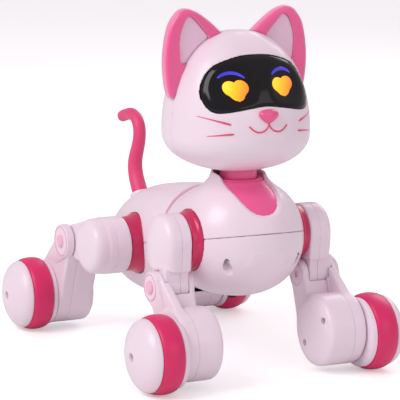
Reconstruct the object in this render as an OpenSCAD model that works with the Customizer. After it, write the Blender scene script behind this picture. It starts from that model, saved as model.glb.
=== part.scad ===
// Four-wheeled electronic robot cat: a body pitched nose-up, a big rounded
// head with a dark face visor, two-segment legs that end in wheels, and a
// curled tail. +Z is up, the face looks along -Y, and the cat's own left side
// is +X. The origin is on the ground, midway between the four wheels.

/* [Wheels] */
// Outer radius of the tyre
tyre_r = 26.5; // [25:0.5:28]
// Width of the tyre
tyre_w = 16; // [12:1:18]
// Radius of the hub the tyre is stretched over
hub_r = 20; // [17:0.5:22]
// X of the tyre's inner face
tyre_x = 72.5; // [71.5:0.5:75]
// How far the domed hub cap stands out of the tyre
dome_h = 12.2; // [6:0.2:14]
// Radius of the wheel axle
axle_r = 3; // [2:0.5:4]
// Distance of the front axle ahead of the middle of the frame
front_axle = 110; // [105:1:112]
// Distance of the rear axle behind the middle of the frame
rear_axle = 103; // [100:1:106]

/* [Legs] */
// Y of the front hip axis
front_hip_y = -70; // [-71:0.5:-69]
// Z of the front hip axis
front_hip_z = 92.5; // [92:0.5:93]
// Y of the rear hip axis
rear_hip_y = 19; // [16:1:22]
// Z of the rear hip axis
rear_hip_z = 75; // [73:1:77]
// Y of the front knee axis
front_knee_y = -75; // [-76:0.5:-74]
// Z of the front knee axis
front_knee_z = 63.5; // [63:0.5:64]
// Y of the rear knee axis
rear_knee_y = 73.5; // [71:0.5:75]
// Z of the rear knee axis
rear_knee_z = 69.5; // [68:0.5:71]
// Radius of the knee barrel
knee_r = 11; // [10:0.5:11.5]
// Radius of the wheel drum on the shin
drum_r = 22.5; // [20:0.5:23.5]
// Radius of the hip shaft
hip_shaft_r = 8; // [6:0.5:9]
// Radius of the knee pin
knee_pin_r = 2.5; // [2:0.25:3]
// Radial play of a shaft that turns in a bore
play = 0.05; // [0.02:0.01:0.1]

/* [Body] */
// Half width of the chest
chest_w = 43.6; // [42:0.1:43.8]
// Half width of the rump
rump_w = 41; // [38:0.5:41.5]
// Half width of the waist groove
waist_w = 36; // [34:0.5:38]
// Nose-up pitch of the body
pitch = 11.1; // [10:0.1:12]
// Wall thickness of the casings
wall = 2.4; // [1.8:0.2:3]

/* [Head] */
// Half width of the head
head_w = 49.3; // [48:0.1:51]
// Depth of the face ahead of the head's middle
head_f = 46.3; // [44:0.1:48]
// Depth of the back of the head behind its middle
head_b = 50; // [46:0.5:53]
// Height of the head above its widest level
head_t = 67.8; // [64:0.2:70]
// Depth of the chin below the widest level
head_d = 26.9; // [25:0.2:29]

/* [Tail] */
// Radius of the tail at its root
tail_r0 = 5.9; // [5:0.1:6.5]
// Radius of the tail at its tip
tail_r1 = 4.3; // [4:0.1:5]

/* [Hidden] */
// Shift from the modelling frame to the origin midway between the axles
origin_y = (front_axle - rear_axle) / 2;

shell_pink = [0.96, 0.86, 0.91];
trim_pink = [0.93, 0.30, 0.52];
rose = [0.82, 0.10, 0.28];
pin_pink = [0.98, 0.72, 0.82];
nose_pink = [0.95, 0.35, 0.55];
whisker_pink = [0.9, 0.35, 0.5];
visor_black = [0.05, 0.04, 0.06];
eye_amber = [1, 0.75, 0.2];
board_green = [0.1, 0.45, 0.25];
cell_blue = [0.25, 0.35, 0.7];
speaker_gray = [0.2, 0.2, 0.22];
switch_black = [0.15, 0.15, 0.16];
screw_steel = [0.6, 0.6, 0.62];
gear_motor_gray = [0.85, 0.85, 0.88];
wheel_motor_gray = [0.8, 0.8, 0.83];

// Which pair of legs; every list below with two entries is [front, rear]
FRONT = 0;
REAR = 1;
// Joint axes as [Y, Z]
hip = [[front_hip_y, front_hip_z], [rear_hip_y, rear_hip_z]];
knee = [[front_knee_y, front_knee_z], [rear_knee_y, rear_knee_z]];
axle = [[-front_axle, tyre_r], [rear_axle, tyre_r]];
// The front shin's drum sits a little behind and above its axle
drum = [axle[FRONT] + [8, 2.5], axle[REAR]];
drum_radius = [drum_r + 1.8, drum_r];
motor_r = [13.2, 15];
motor_bore_r = [motor_r[FRONT] + 0.7, motor_r[REAR] + 3];

neck_y = -67;
neck_shaft_r = 9;

// ---------------------------------------------------------------- helpers
function unit(angle) = [cos(angle), sin(angle)];
function heading(from, to) = atan2(to[1] - from[1], to[0] - from[0]);
function signed_pow(value, power) = sign(value) * pow(abs(value), power);
// Height of a unit superellipse at u, where u runs from -1 to 1
function dome(u, power) = pow(1 - pow(min(1, abs(u)), power), 1 / power);
// Points of half an oval, from +X round to -X; a negative height turns it over
function half_oval(half_width, height, power, steps) = [for (i = [0 : steps])
  let (a = 180 * i / steps)
  [half_width * signed_pow(cos(a), power), height * signed_pow(sin(a), power)]];
// Closes the +X half of an outline with its mirror image
function mirrored(half) = concat(half,
  [for (i = [len(half) - 1 : -1 : 0]) if (half[i][0] != 0) [-half[i][0], half[i][1]]]);

module both_sides() for (m = [0, 1]) mirror([m, 0, 0]) children();
// A round bar along X between two values of X, centred on [Y, Z]
module x_bar(r, x0, x1, center_yz, sides = 48)
  translate([x0, center_yz[0], center_yz[1]]) rotate([0, 90, 0])
    cylinder(r = r, h = x1 - x0, $fn = sides);
// A Y-Z outline extruded along X between two values of X
module x_plate(x0, x1)
  translate([x0, 0, 0]) rotate([90, 0, 90]) linear_extrude(x1 - x0) children();
// A profile of [X, radius] points turned about an X axis at [Y, Z]
module x_turned(center_yz, points, sides = 64)
  translate([0, center_yz[0], center_yz[1]]) rotate([0, 90, 0]) rotate_extrude($fn = sides)
    polygon([for (p = points) [p[1], p[0]]]);

// ---------------------------------------------------------------- body
// In the body frame, stations run along Y from the chest's middle, + to the rear
UPPER = 1;
LOWER = -1;
chest_l = 44;          // length of the rounded chest ahead of station 0
groove = [40, 44];     // stations of the waist groove
rump_s = 100;          // widest station of the rump
rump_l = 67;           // length of the rounded rump behind it
chest_height = 0.928;  // heights as ratios of the half width
groove_top = 0.98;
rump_depth = 0.94;
body_power = 0.94;     // squareness of the body's sections
bay_y = 62;            // station of the battery bay's and the board's middle
bay_screw_y = 90;
switch_y = 18;
chest_screw_x = 25.8;

// Half width, top height and bottom depth of the body at station s
function body_w(s) = s < 0 ? chest_w * dome(s / chest_l, 2.06)
  : s < groove[0] ? chest_w - (chest_w - 38.5) * pow(s / groove[0], 2)
  : s < groove[1] ? waist_w
  : s < rump_s ? rump_w - (rump_w - 38) * pow((rump_s - s) / (rump_s - groove[1]), 2)
  : rump_w * dome((s - rump_s) / rump_l, 2);
function chest_h(s) = chest_height * (s < 0 ? chest_w * dome(s / chest_l, 2.15) : body_w(s));
function body_top(s) = s < groove[0] ? chest_h(s) : body_w(s) * (s < groove[1] ? groove_top : 1);
function body_depth(s) = s < groove[0] ? chest_h(s) : body_w(s) * rump_depth;

// Stations of the casing's outside and of its hollow
OUTER_STATIONS = [-43.9, -42.5, -39, -33, -24, -12, 2, 18, 31, 39.9, 40.1, 43.9, 44.1,
  60, 80, 100, 118, 134, 148, 158, 164.5, 166.8];
INNER_STATIONS = [-41, -38, -32, -22, -10, 4, 20, 33, 35.2, 48.8, 51, 64, 84, 104, 122,
  138, 152, 162];

module body_frame() translate([0, -69, 92]) rotate([-pitch, 0, 0]) children();
// Half section of the body at station s, run 1 mm past the parting plane
module half_section(s, half, inset)
  translate([0, s, 0]) rotate([90, 0, 0]) linear_extrude(0.1, center = true)
    // the hollow narrows to pass inside the waist groove
    let (depth = inset + (inset > 0 && s > 34 && s < 50 ? 4.5 : 0),
      w = max(0.6, body_w(s) - depth),
      h = max(0.6, (half == UPPER ? body_top(s) : body_depth(s)) - depth))
    polygon(concat(half_oval(w, half * h, body_power, 15), [[-w, -half], [w, -half]]));
module half_body(half, stations, inset)
  for (i = [0 : len(stations) - 2]) hull() {
    half_section(stations[i], half, inset);
    half_section(stations[i + 1], half, inset);
  }
// Everything on the other side of the parting plane
module beyond_parting(half)
  body_frame() translate([0, 60, -half * 60]) cube([200, 300, 120], center = true);
module hip_holes() {
  x_bar(20.8, -100, 100, hip[FRONT]);
  x_bar(21.7, -100, 100, hip[REAR]);
}
module tail_frame()
  translate([0, tail_root[0], tail_root[1]]) rotate([-32, 0, 0]) children();
// The two screw places under the chest
module chest_screw_places() body_frame() for (x = [-chest_screw_x, chest_screw_x])
  translate([x, -31, -21]) rotate([-8, 0, 0]) children();

module neck_collar()
  translate([0, -66, 118]) rotate([6, 0, 0]) rotate_extrude($fn = 40)
    polygon([[15, 0], [27, 0], [23, 9], [20.6, 15], [19.2, 18], [15, 18]]);
module body_upper_shell() color(shell_pink) difference() {
  union() {
    body_frame() half_body(UPPER, OUTER_STATIONS, 0);
    // raised neck collar, open at the front over the bib
    difference() {
      neck_collar();
      bib_prism(0.2);
    }
  }
  body_frame() half_body(UPPER, INNER_STATIONS, wall);
  beyond_parting(UPPER);
  hip_holes();
  // opening for the neck bearing
  translate([0, neck_y, 100]) cylinder(r = 17.03, h = 60, $fn = 44);
  // tail socket opening
  tail_frame() cylinder(r = 8.1, h = 30, center = true, $fn = 32);
}
module body_lower_shell() color(shell_pink) difference() {
  union() {
    body_frame() half_body(LOWER, OUTER_STATIONS, 0);
    // flat plate under the chest front
    body_frame() translate([0, -33, -16]) rotate([62, 0, 0]) linear_extrude(6, center = true)
      polygon([[-12.8, 5], [12.8, 5], [16.5, -5], [-16.5, -5]]);
  }
  body_frame() half_body(LOWER, INNER_STATIONS, wall);
  beyond_parting(LOWER);
  hip_holes();
  // battery bay
  body_frame() translate([0, bay_y, -36]) cube([46.4, 66.4, 26], center = true);
  // switch slot
  body_frame() translate([0, switch_y, -38]) cube([9, 17, 16], center = true);
  chest_screw_places() translate([0, 0, -30]) cylinder(r = 3.1, h = 40, $fn = 24);
}
// Outline of the waist groove's floor, grown by gap
module waist_outline(gap) polygon([for (i = [0 : 59]) let (a = 6 * i + 3,
  height = waist_w * (sin(a) > 0 ? groove_top : rump_depth))
  [(waist_w + gap) * signed_pow(cos(a), body_power),
   (height + gap) * signed_pow(sin(a), body_power)]]);
// Ring that fills the groove between the chest and the rump
module waist_ring() color(trim_pink) difference() {
  slack = 0.4;
  body_frame() translate([0, groove[1] - slack, 0]) rotate([90, 0, 0])
    linear_extrude(groove[1] - groove[0] - 2 * slack) difference() {
      waist_outline(1.1);
      waist_outline(0.16);
    }
  // clear of the battery bay
  body_frame() translate([0, bay_y, -40]) cube([47.4, 68, 29], center = true);
}
// +X half of the bib's U in front view, as [X, Z] in the body frame
BIB_HALF = [[15.6, 56], [15.2, 36], [14.6, 29.5], [13, 23.5], [10.6, 18.6], [7.2, 15],
  [3.2, 13.4]];
module bib_prism(gap = 0) body_frame() rotate([90, 0, 0]) linear_extrude(60)
  offset(delta = gap) polygon(mirrored(BIB_HALF));
// Curved bib on the front of the chest that runs up to the neck
module chest_bib() color(trim_pink) difference() {
  intersection() {
    body_frame() half_body(UPPER, concat([for (s = OUTER_STATIONS) if (s < 0) s], [0]), -1.6);
    bib_prism();
  }
  body_frame() half_body(UPPER, [for (s = OUTER_STATIONS) if (s < 19) s], -0.1);
  translate([0, neck_y, 100]) cylinder(r = 17.2, h = 60, $fn = 40);
}
module neck_bearing() color(trim_pink) translate([0, neck_y, 0]) difference() {
  bearing_r = 16.8;
  union() {
    translate([0, 0, 112]) cylinder(r = bearing_r, h = 17, $fn = 64);
    translate([0, 0, 129]) cylinder(r1 = bearing_r, r2 = 14.2, h = 2.2, $fn = 64);
  }
  translate([0, 0, 111]) cylinder(r = neck_shaft_r + play, h = 30, $fn = 64);
}
// Collar in the casing at each hip, bored for the hip shaft; [X, radius] profiles
COLLARS = [
  [[24, 12], [24, 20.5], [39.4, 20.5], [41.2, 18.9], [44.8, 18.4], [44.8, 12]],
  [[24, 12], [24, 21.5], [36, 21.5], [39.4, 19.6], [47, 19], [47, 12]]];
module hip_collars() color(rose) both_sides() for (leg = [FRONT, REAR]) difference() {
  x_turned(hip[leg], COLLARS[leg]);
  x_bar(hip_shaft_r + play, 20, 50, hip[leg], 64);
}
// A motor at each hip and one upright motor under the neck
module gear_motors() color(gear_motor_gray) {
  back_x = [11, 4];
  both_sides() for (leg = [FRONT, REAR]) difference() {
    union() {
      x_bar(11, back_x[leg], 23.8, hip[leg]);
      x_bar(3, 23, 26, hip[leg], 24);
    }
    x_bar(1, 3, back_x[leg] + 4, hip[leg], 24);
  }
  translate([0, neck_y, 84]) cylinder(r = 10, h = 24, $fn = 48);
  translate([0, neck_y, 107]) cylinder(r = 3, h = 2.5, $fn = 24);
}
// Board with three blocks on its top
module main_board() color(board_green) body_frame() {
  translate([0, bay_y, 17]) cube([44, 66, 1.6], center = true);
  translate([0, 50, 19.8]) cube([14, 14, 4], center = true);
  translate([-14, 78, 20.3]) cube([8, 10, 5], center = true);
  translate([12, 82, 19.3]) cube([12, 6, 3], center = true);
}
module battery_pack() color(cell_blue) body_frame()
  for (x = [-15.6, 0, 15.6]) translate([x, 51.4, -19.6]) rotate([-90, 0, 0])
    cylinder(r = 7.2, h = 49, $fn = 40);
// Door with a rail along each side and a recessed screw hole
module battery_door() color(shell_pink) body_frame() difference() {
  union() {
    translate([0, bay_y, -37.6]) cube([46, 66, 3], center = true);
    for (x = [-21.5, 21.5]) translate([x, bay_y, -33]) cube([2, 58, 7], center = true);
  }
  translate([0, bay_screw_y, -37]) cylinder(r = 1.6, h = 20, center = true, $fn = 24);
  translate([0, bay_screw_y, -40.2]) cylinder(r = 3.1, h = 2.65, $fn = 24);
}
module speaker() color(speaker_gray) body_frame() translate([0, 118, 0]) {
  translate([0, 0, -19]) cylinder(r = 14, h = 4, $fn = 48);
  translate([0, 0, -16]) cylinder(r = 7, h = 6, $fn = 32);
}
module screw(head_r, head_h, shank_r, length) {
  cylinder(r = head_r, h = head_h, $fn = 24);
  cylinder(r = shank_r, h = length, $fn = 24);
}
// Screws that hold the casing halves and the battery door
module torso_screws() color(screw_steel) {
  chest_screw_places() translate([0, 0, 5]) screw(2.6, 2, 1.3, 9);
  body_frame() translate([0, bay_screw_y, -38.9]) screw(2.8, 1.3, 1.2, 10);
}
module tail_socket() color(shell_pink) tail_frame() difference() {
  translate([0, 0, -14]) cylinder(r = 8, h = 14, $fn = 48);
  translate([0, 0, -12]) cylinder(r = tail_pin_r + play, h = 14, $fn = 48);
  // cup for the rounded root of the tail
  translate([0, 0, -6.3]) cylinder(r = 6.25, h = 8, $fn = 48);
}
module power_switch() color(switch_black) body_frame() translate([0, switch_y, 0]) {
  translate([0, 0, -37.5]) cube([8, 8, 3], center = true);
  translate([0, 0, -40]) cube([5, 3, 4], center = true);
}

// ---------------------------------------------------------------- tail
tail_root = [86, 98];
tail_pin_r = 4;
// Centre line of the tail as [Y, Z] points, root to tip
TAIL = [tail_root, [90, 103.6], [93.4, 109.2], [95.3, 115], [95.3, 120.6], [93.6, 125.8],
  [91.2, 131], [88.9, 136.8], [88, 142.6], [89.3, 148.6], [94, 153.4], [101.5, 155.4],
  [109.4, 154.2], [116.6, 152.2]];
module tail_ball(i) translate([0, TAIL[i][0], TAIL[i][1]])
  sphere(r = tail_r0 + (tail_r1 - tail_r0) * i / (len(TAIL) - 1), $fn = 20);
module tail() color(trim_pink) {
  for (i = [0 : len(TAIL) - 2]) hull() {
    tail_ball(i);
    tail_ball(i + 1);
  }
  // pin that plugs into the socket
  tail_frame() translate([0, 0, -11]) cylinder(r = tail_pin_r, h = 12, $fn = 48);
}

// ---------------------------------------------------------------- head
FACE = -1;
BACK = 1;
head_y = -63.8;     // seam between the face and the back of the head
head_z = 164.2;     // widest level
head_power = 2.23;  // squareness of the head's curves
eye_x = 17.5;

// Half width, face depth and back depth of the head at height z
function head_level(z) = (z - head_z) / (z > head_z ? head_t : head_d);
function head_half_w(z) = head_w * dome(head_level(z), head_power);
function face_depth(z) = head_f * dome(head_level(z), z > head_z ? 1.75 : head_power);
function back_depth(z) = head_b * dome(head_level(z), head_power);
// Y of the face's surface at [x, z]
function face_y(x, z) = head_y - face_depth(z) * dome(x / head_half_w(z), head_power);

// Heights of the sections for the head's outside, its hollow and the visor
HEAD_LEVELS = [137.5, 138.6, 141, 145, 151, 158, 166, 176, 187, 198, 208, 217, 224,
  228.5, 231, 231.8];
HOLLOW_LEVELS = [for (i = [0 : 13]) 140 + 89 * i / 13];
VISOR_LEVELS = [176, 180, 184, 188, 192, 196, 200, 204, 208, 212, 216, 219];

module head_section(z, side, inset)
  translate([0, head_y, z]) linear_extrude(0.3, center = true)
    polygon(half_oval(max(0.8, head_half_w(z) - inset),
      side * max(0.8, (side == FACE ? face_depth(z) : back_depth(z)) - inset), 0.9, 17));
module half_head(side, inset, levels = HEAD_LEVELS)
  for (i = [0 : len(levels) - 2]) hull() {
    head_section(levels[i], side, inset);
    head_section(levels[i + 1], side, inset);
  }
// An X-Z outline run forward through the face
module face_prism(gap)
  translate([0, -60, 0]) rotate([90, 0, 0]) linear_extrude(80) offset(delta = gap) children();

// +X half of the visor in front view, as [X, Z]
VISOR_HALF = [[0, 217.4], [10, 217], [20, 214.6], [28.9, 211], [34.8, 205.5], [38.8, 199],
  [40.6, 192.5], [39.6, 186.5], [36.6, 182.4], [32.3, 181], [27, 181.3], [20, 182.4],
  [11.5, 183.8], [4, 184.8], [0, 185]];
module visor_prism(gap = 0) face_prism(gap) polygon(mirrored(VISOR_HALF));
module heart(size) polygon([for (a = [0 : 10 : 350])
  size * [pow(sin(a), 3), (13 * cos(a) - 5 * cos(2 * a) - 2 * cos(3 * a) - cos(4 * a)) / 15]]);
// Each eye is a heart under a thin arc
module eye_prisms(gap = 0) face_prism(gap)
  for (x = [-eye_x, eye_x]) translate([x, 196.5]) {
    heart(8.6);
    translate([0, -2]) intersection() {
      difference() {
        circle(r = 13.6, $fn = 40);
        circle(r = 12.3, $fn = 40);
      }
      polygon([[0, 0], [-12, 16], [12, 16]]);
    }
  }
// Corners of the flat inside each ear, as [X, Z]
EAR_INSET = [[24, 226], [39, 241], [42.8, 232], [43.5, 224], [41.5, 208]];
module ear_insets() both_sides() hull() for (p = EAR_INSET)
  translate([p[0], -58, p[1]]) rotate([90, 0, 0]) cylinder(r = 2.2, h = 3.4, $fn = 16);
module head_front_shell() color(shell_pink) difference() {
  half_head(FACE, 0);
  half_head(FACE, wall, HOLLOW_LEVELS);
  // window for the visor
  visor_prism(0.22);
  // neck opening
  translate([0, neck_y, 120]) cylinder(r = 13.5, h = 30, $fn = 26);
}
module head_rear_shell() color(shell_pink) difference() {
  union() {
    half_head(BACK, 0);
    ear_insets();
  }
  half_head(BACK, wall, HOLLOW_LEVELS);
  // nothing stands ahead of the seam
  translate([0, head_y - 20, 185]) cube([104, 40, 78], center = true);
  // neck opening
  translate([0, neck_y, 130]) cylinder(r = 12.9, h = 20, $fn = 40);
  // four screw holes in the back of the head
  for (x = [-26, 26], z = [158, 206]) translate([x, -20, z]) rotate([90, 0, 0])
    cylinder(r = 2.5, h = 40, center = true, $fn = 20);
}
// Line of each ear's rim as [X, Z], from the outside up and over to the crown
EAR_RIM = [[53.6, 196], [55.6, 206], [55.2, 216], [52.6, 228], [48.4, 237.5],
  [43.6, 242.6], [39.2, 243.8], [34.6, 242.4], [28, 238.4], [20.5, 232.5], [13.6, 226.4]];
module ear_ball(p)
  translate([p[0] - 0.8, -59, p[1]]) scale([1, 1.5, 1]) sphere(r = 3.6, $fn = 14);
// Thick rounded arch round each ear
module ear_frames() color(trim_pink) difference() {
  both_sides() for (i = [0 : len(EAR_RIM) - 2]) hull() {
    ear_ball(EAR_RIM[i]);
    ear_ball(EAR_RIM[i + 1]);
  }
  half_head(BACK, -0.15);
  half_head(FACE, -0.15);
  minkowski() {
    ear_insets();
    cube(0.3, center = true);
  }
}
module face_visor() color(visor_black) difference() {
  intersection() {
    half_head(FACE, -0.8, VISOR_LEVELS);
    visor_prism();
  }
  half_head(FACE, 1.4, VISOR_LEVELS);
  eye_prisms(0.1);
}
module eye_lights() color(eye_amber) difference() {
  intersection() {
    half_head(FACE, -0.9, VISOR_LEVELS);
    eye_prisms();
  }
  half_head(FACE, 1.0, VISOR_LEVELS);
}
module eye_led_board() color(board_green) {
  translate([0, -79, 196]) cube([56, 1.6, 22], center = true);
  for (x = [-eye_x, eye_x], z = [191, 200])
    translate([x, -81.2, z]) cube([5, 2.6, 5], center = true);
}
module nose() color(nose_pink) difference() {
  hull() {
    for (x = [-5, 5])
      translate([x, face_y(0, 181) - 0.2, 180.8]) sphere(r = 2.6, $fn = 20);
    translate([0, face_y(0, 180) - 0.8, 180]) sphere(r = 3.2, $fn = 20);
    translate([0, face_y(0, 175) + 0.2, 175.4]) sphere(r = 2.2, $fn = 20);
  }
  half_head(FACE, -0.03);
}
// A thin rib along [X, Z] points on the face, from radius r0 to r1
module rib(points, r0, r1) for (i = [0 : len(points) - 2]) hull() for (k = [i, i + 1]) {
  p = points[k];
  translate([p[0], face_y(p[0], p[1]) - 0.55, p[1]])
    sphere(r = r0 + (r1 - r0) * k / (len(points) - 1), $fn = 8);
}
MOUTH = [[0.9, 172.1], [1.6, 170.9], [3.6, 169.3], [7, 168.6], [10.6, 169.6], [13.6, 171.8]];
WHISKERS = [
  [[25.5, 173.8], [31, 175.4], [36.5, 176.9], [42.5, 178.6]],
  [[24, 167.6], [31, 166.9], [38.5, 165.8]]];
module face_trim() color(whisker_pink) difference() {
  both_sides() {
    rib(MOUTH, 0.75, 0.6);
    for (whisker = WHISKERS) rib(whisker, 0.95, 0.4);
  }
  half_head(FACE, -0.03);
}
module neck_tube() color(trim_pink) translate([0, neck_y, 0]) {
  translate([0, 0, 131.6]) cylinder(r = 12.7, h = 12.4, $fn = 64);
  translate([0, 0, 112.5]) cylinder(r = neck_shaft_r, h = 20, $fn = 64);
}

// ---------------------------------------------------------------- legs
// All modelled on the +X side, so a larger X is further out
thigh_hip_r = [19, 20];
thigh_split_x = [52.6, 58.5];  // seam between the thigh's shells
barrel_x = [46.4, 63.6];       // inner and outer faces of the knee barrel
shin_split_x = 59;             // seam between the shin's shells
knee_gap_x = 64.1;             // outer end of the shin's gap for the barrel
knee_face_x = 70;              // outer face of the shin at the knee

// Bar between two circles, sunk just inside their common tangents
module strap(from, to, from_r, to_r, to_sink = 0.2) {
  angle = heading(from, to);
  spread = acos((from_r - to_r) / norm(to - from));
  polygon([
    from + (from_r - 0.2) * unit(angle + spread),
    to + (to_r - to_sink) * unit(angle + spread),
    to + (to_r - to_sink) * unit(angle - spread),
    from + (from_r - 0.2) * unit(angle - spread)]);
}
// Side outline of the front thigh above its knee barrel
module thigh_top(inset = 0) {
  top = thigh_hip_r[FRONT] - 0.2 - inset;
  low = 12.6 - inset;
  translate(hip[FRONT]) circle(r = thigh_hip_r[FRONT] - inset, $fn = 64);
  polygon([hip[FRONT] + [-top, -2], hip[FRONT] + [top, -2],
    knee[FRONT] + [low, 11 + inset], knee[FRONT] + [-low, 11 + inset]]);
}
module thigh_profile(leg) {
  translate(knee[leg]) circle(r = knee_r, $fn = 48);
  if (leg == FRONT) {
    thigh_top();
    translate(knee[FRONT] + [-10.4, 0]) square([20.8, 13]);
  } else {
    translate(hip[REAR]) circle(r = thigh_hip_r[REAR], $fn = 64);
    strap(hip[REAR], knee[REAR], thigh_hip_r[REAR], knee_r);
  }
}
// Dished cover over each hip as [X, radius]
HIP_COVERS = [
  [[59, 0], [59, 18.6], [60.6, 18.2], [62.4, 15.6], [64.7, 10.6], [66, 5.6], [66.5, 0]],
  [[62, 0], [62, 19.7], [66, 19.7], [71, 18.2], [74.6, 14], [76, 8], [76.2, 0]]];
module thigh_outer(leg) color(shell_pink) difference() {
  union() {
    x_plate(thigh_split_x[leg], leg == FRONT ? 60 : barrel_x[1]) thigh_profile(leg);
    x_turned(hip[leg], HIP_COVERS[leg]);
    if (leg == FRONT) {
      x_plate(59, barrel_x[1]) {
        translate(knee[FRONT] + [-10.1, 0]) square([20.2, 12.6]);
        translate(knee[FRONT]) circle(r = knee_r - 0.2, $fn = 48);
      }
      // raised panel from the hip to the knee
      x_plate(59.3, 62.2) polygon([hip[FRONT] + [-15.2, -3], hip[FRONT] + [15.2, -3],
        knee[FRONT] + [9.4, 12], knee[FRONT] + [-9.4, 12]]);
    }
  }
  // hollow inside
  if (leg == FRONT) x_bar(13, 51, 61.6, hip[FRONT]);
  else x_bar(14, 57, 66.2, hip[REAR]);
  x_bar(knee_pin_r + play, 50, 80, knee[leg]);
}
module thigh_inner(leg) color(shell_pink) difference() {
  union() {
    x_plate(leg == FRONT ? barrel_x[0] : 47.6, thigh_split_x[leg]) thigh_profile(leg);
    if (leg == FRONT) x_plate(45.2, 47) thigh_top(0.5);
    else x_bar(knee_r - 0.3, barrel_x[0], 48, knee[REAR]);
    x_bar(hip_shaft_r, 27, 48, hip[leg], 64);
  }
  x_bar(leg == FRONT ? 13 : 15, 49.6, 59, hip[leg]);
  // bore through the hip shaft
  x_bar(3.5, 26, 51, hip[leg], 32);
  x_bar(knee_pin_r + play, 40, 60, knee[leg]);
}
// Side outline of the shin, with top_r its radius at the knee
module shin_profile(leg, top_r) {
  low_r = drum_radius[leg] - 0.3;
  translate(knee[leg]) circle(r = top_r, $fn = 48);
  translate(drum[leg]) circle(r = low_r, $fn = 64);
  if (leg == FRONT)
    // a straight neck that runs down from the knee into the drum
    polygon([knee[FRONT] + [top_r - 0.1, -1], knee[FRONT] + [-top_r + 0.1, 1],
      knee[FRONT] + [-12.4, -6], knee[FRONT] + [-14.6, -13],
      drum[FRONT] + [-10, 10], drum[FRONT] + [0, -8], drum[FRONT] + [22.2, -8]]);
  else
    strap(knee[REAR], axle[REAR], top_r, low_r, to_sink = 0.3);
}
// Gap for the knee barrel; a rear shin also has room for the thigh's bar as the knee closes
module knee_gap(leg, gap_x, room_x) {
  x_bar(knee_r + 1, gap_x[0], gap_x[1], knee[leg]);
  if (leg == REAR) {
    thigh_l = norm(hip[REAR] - knee[REAR]);
    angle = heading(knee[REAR], hip[REAR]) + asin((thigh_hip_r[REAR] - knee_r) / thigh_l) + 11;
    along = 50 * unit(angle);
    across = unit(angle + 90);
    x_plate(room_x[0], room_x[1]) polygon([knee[REAR] + 12.4 * across,
      knee[REAR] + 12.4 * across + along, knee[REAR] - 40 * across + along,
      knee[REAR] - 40 * across]);
  }
}
// Outer ear of the knee: a disc that tapers to a point down the shin
module ear_profile(leg, r, tip) {
  angle = heading(knee[leg], axle[leg]);
  spread = acos(r / tip);
  translate(knee[leg]) circle(r = r, $fn = 48);
  polygon([
    knee[leg] + (r - 0.2) * unit(angle + spread),
    knee[leg] + tip * unit(angle),
    knee[leg] + (r - 0.2) * unit(angle - spread)]);
}
module shin_outer(leg) color(shell_pink) difference() {
  rim_r = drum_radius[leg];
  union() {
    x_plate(shin_split_x, 64.6) shin_profile(leg, 10.6);
    x_plate(knee_gap_x, knee_face_x) ear_profile(leg, 10.4, 30);
    x_turned(drum[leg], [[shin_split_x, 0], [shin_split_x, rim_r], [67, rim_r],
      [68.4, rim_r - 1.4], [68.4, 0]]);
  }
  knee_gap(leg, [45, knee_gap_x], [44.9, 63.9]);
  x_bar(knee_pin_r, 60, 80, knee[leg]);
  // room for the motor, and the axle's bearing
  x_bar(motor_bore_r[leg], 50, 64.5, axle[leg]);
  x_bar(axle_r + play, 50, 80, axle[leg]);
  // clear of the wheel hub
  x_bar(hub_r + 5.4, 68.6, 90, axle[leg], 64);
}
module shin_inner(leg) color(shell_pink) difference() {
  rim_r = drum_radius[leg];
  angle = heading(knee[leg], axle[leg]);
  union() {
    x_plate(41.6, shin_split_x) shin_profile(leg, 10);
    x_turned(drum[leg], [[38.4, 0], [38.4, rim_r - 6], [39.6, rim_r - 2.4], [42.5, rim_r],
      [shin_split_x, rim_r], [shin_split_x, 0]]);
  }
  knee_gap(leg, [46, 60], [47, 60.2]);
  x_bar(knee_pin_r, 30, 60, knee[leg]);
  x_bar(motor_bore_r[leg], 42, 60, axle[leg]);
  // two screw holes in the drum's inner side
  for (offset_yz = [19.2 * unit(angle + (leg == FRONT ? 62 : -62)), 20 * unit(angle + 180)])
    x_bar(1.6, 37, 50, drum[leg] + offset_yz, 24);
}
// Pin with a flat cap that has a raised rim and a button in the middle
module knee_pin(leg) color(pin_pink) {
  x_bar(knee_pin_r, 42.4, knee_face_x, knee[leg]);
  x_turned(knee[leg], [[knee_face_x, 0], [knee_face_x, 9], [70.8, 9], [71.2, 8.4],
    [71.2, 6.2], [70.8, 5.9], [71.4, 5.4], [71.7, 3], [71.8, 0]], 48);
}

// ---------------------------------------------------------------- wheels
tyre_end_x = tyre_x + tyre_w;
hub_end_x = tyre_end_x - 1;
dome_r = 24.4;

module wheel_motor(leg) color(wheel_motor_gray) difference() {
  union() {
    x_bar(motor_r[leg] - 2.6, 43, 58, axle[leg]);
    x_bar(motor_r[leg], 52, 62, axle[leg]);
  }
  x_bar(axle_r + play, 50, 63, axle[leg]);
}
// Hub in one piece with its axle and the flange behind the tyre
module wheel_hub(leg) color(shell_pink)
  x_turned(axle[leg], [[54, 0], [54, axle_r], [69.2, axle_r], [69.2, 23.6], [70, 24],
    [tyre_x, 24], [tyre_x, hub_r], [hub_end_x, hub_r], [hub_end_x, 0]]);
// Rounded shoulder of the tyre as [distance in from its side, drop below its radius]
SHOULDER = [[0, 2.2], [1, 0.9], [3.6, 0.1], [5, 0]];
module tyre(leg) color(rose)
  x_turned(axle[leg], concat(
    [[tyre_x, hub_r]],
    [for (p = SHOULDER) [tyre_x + p[0], tyre_r - p[1]]],
    [for (i = [3 : -1 : 0]) [tyre_end_x - SHOULDER[i][0], tyre_r - SHOULDER[i][1]]],
    [[tyre_end_x, hub_r]]), 96);
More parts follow.
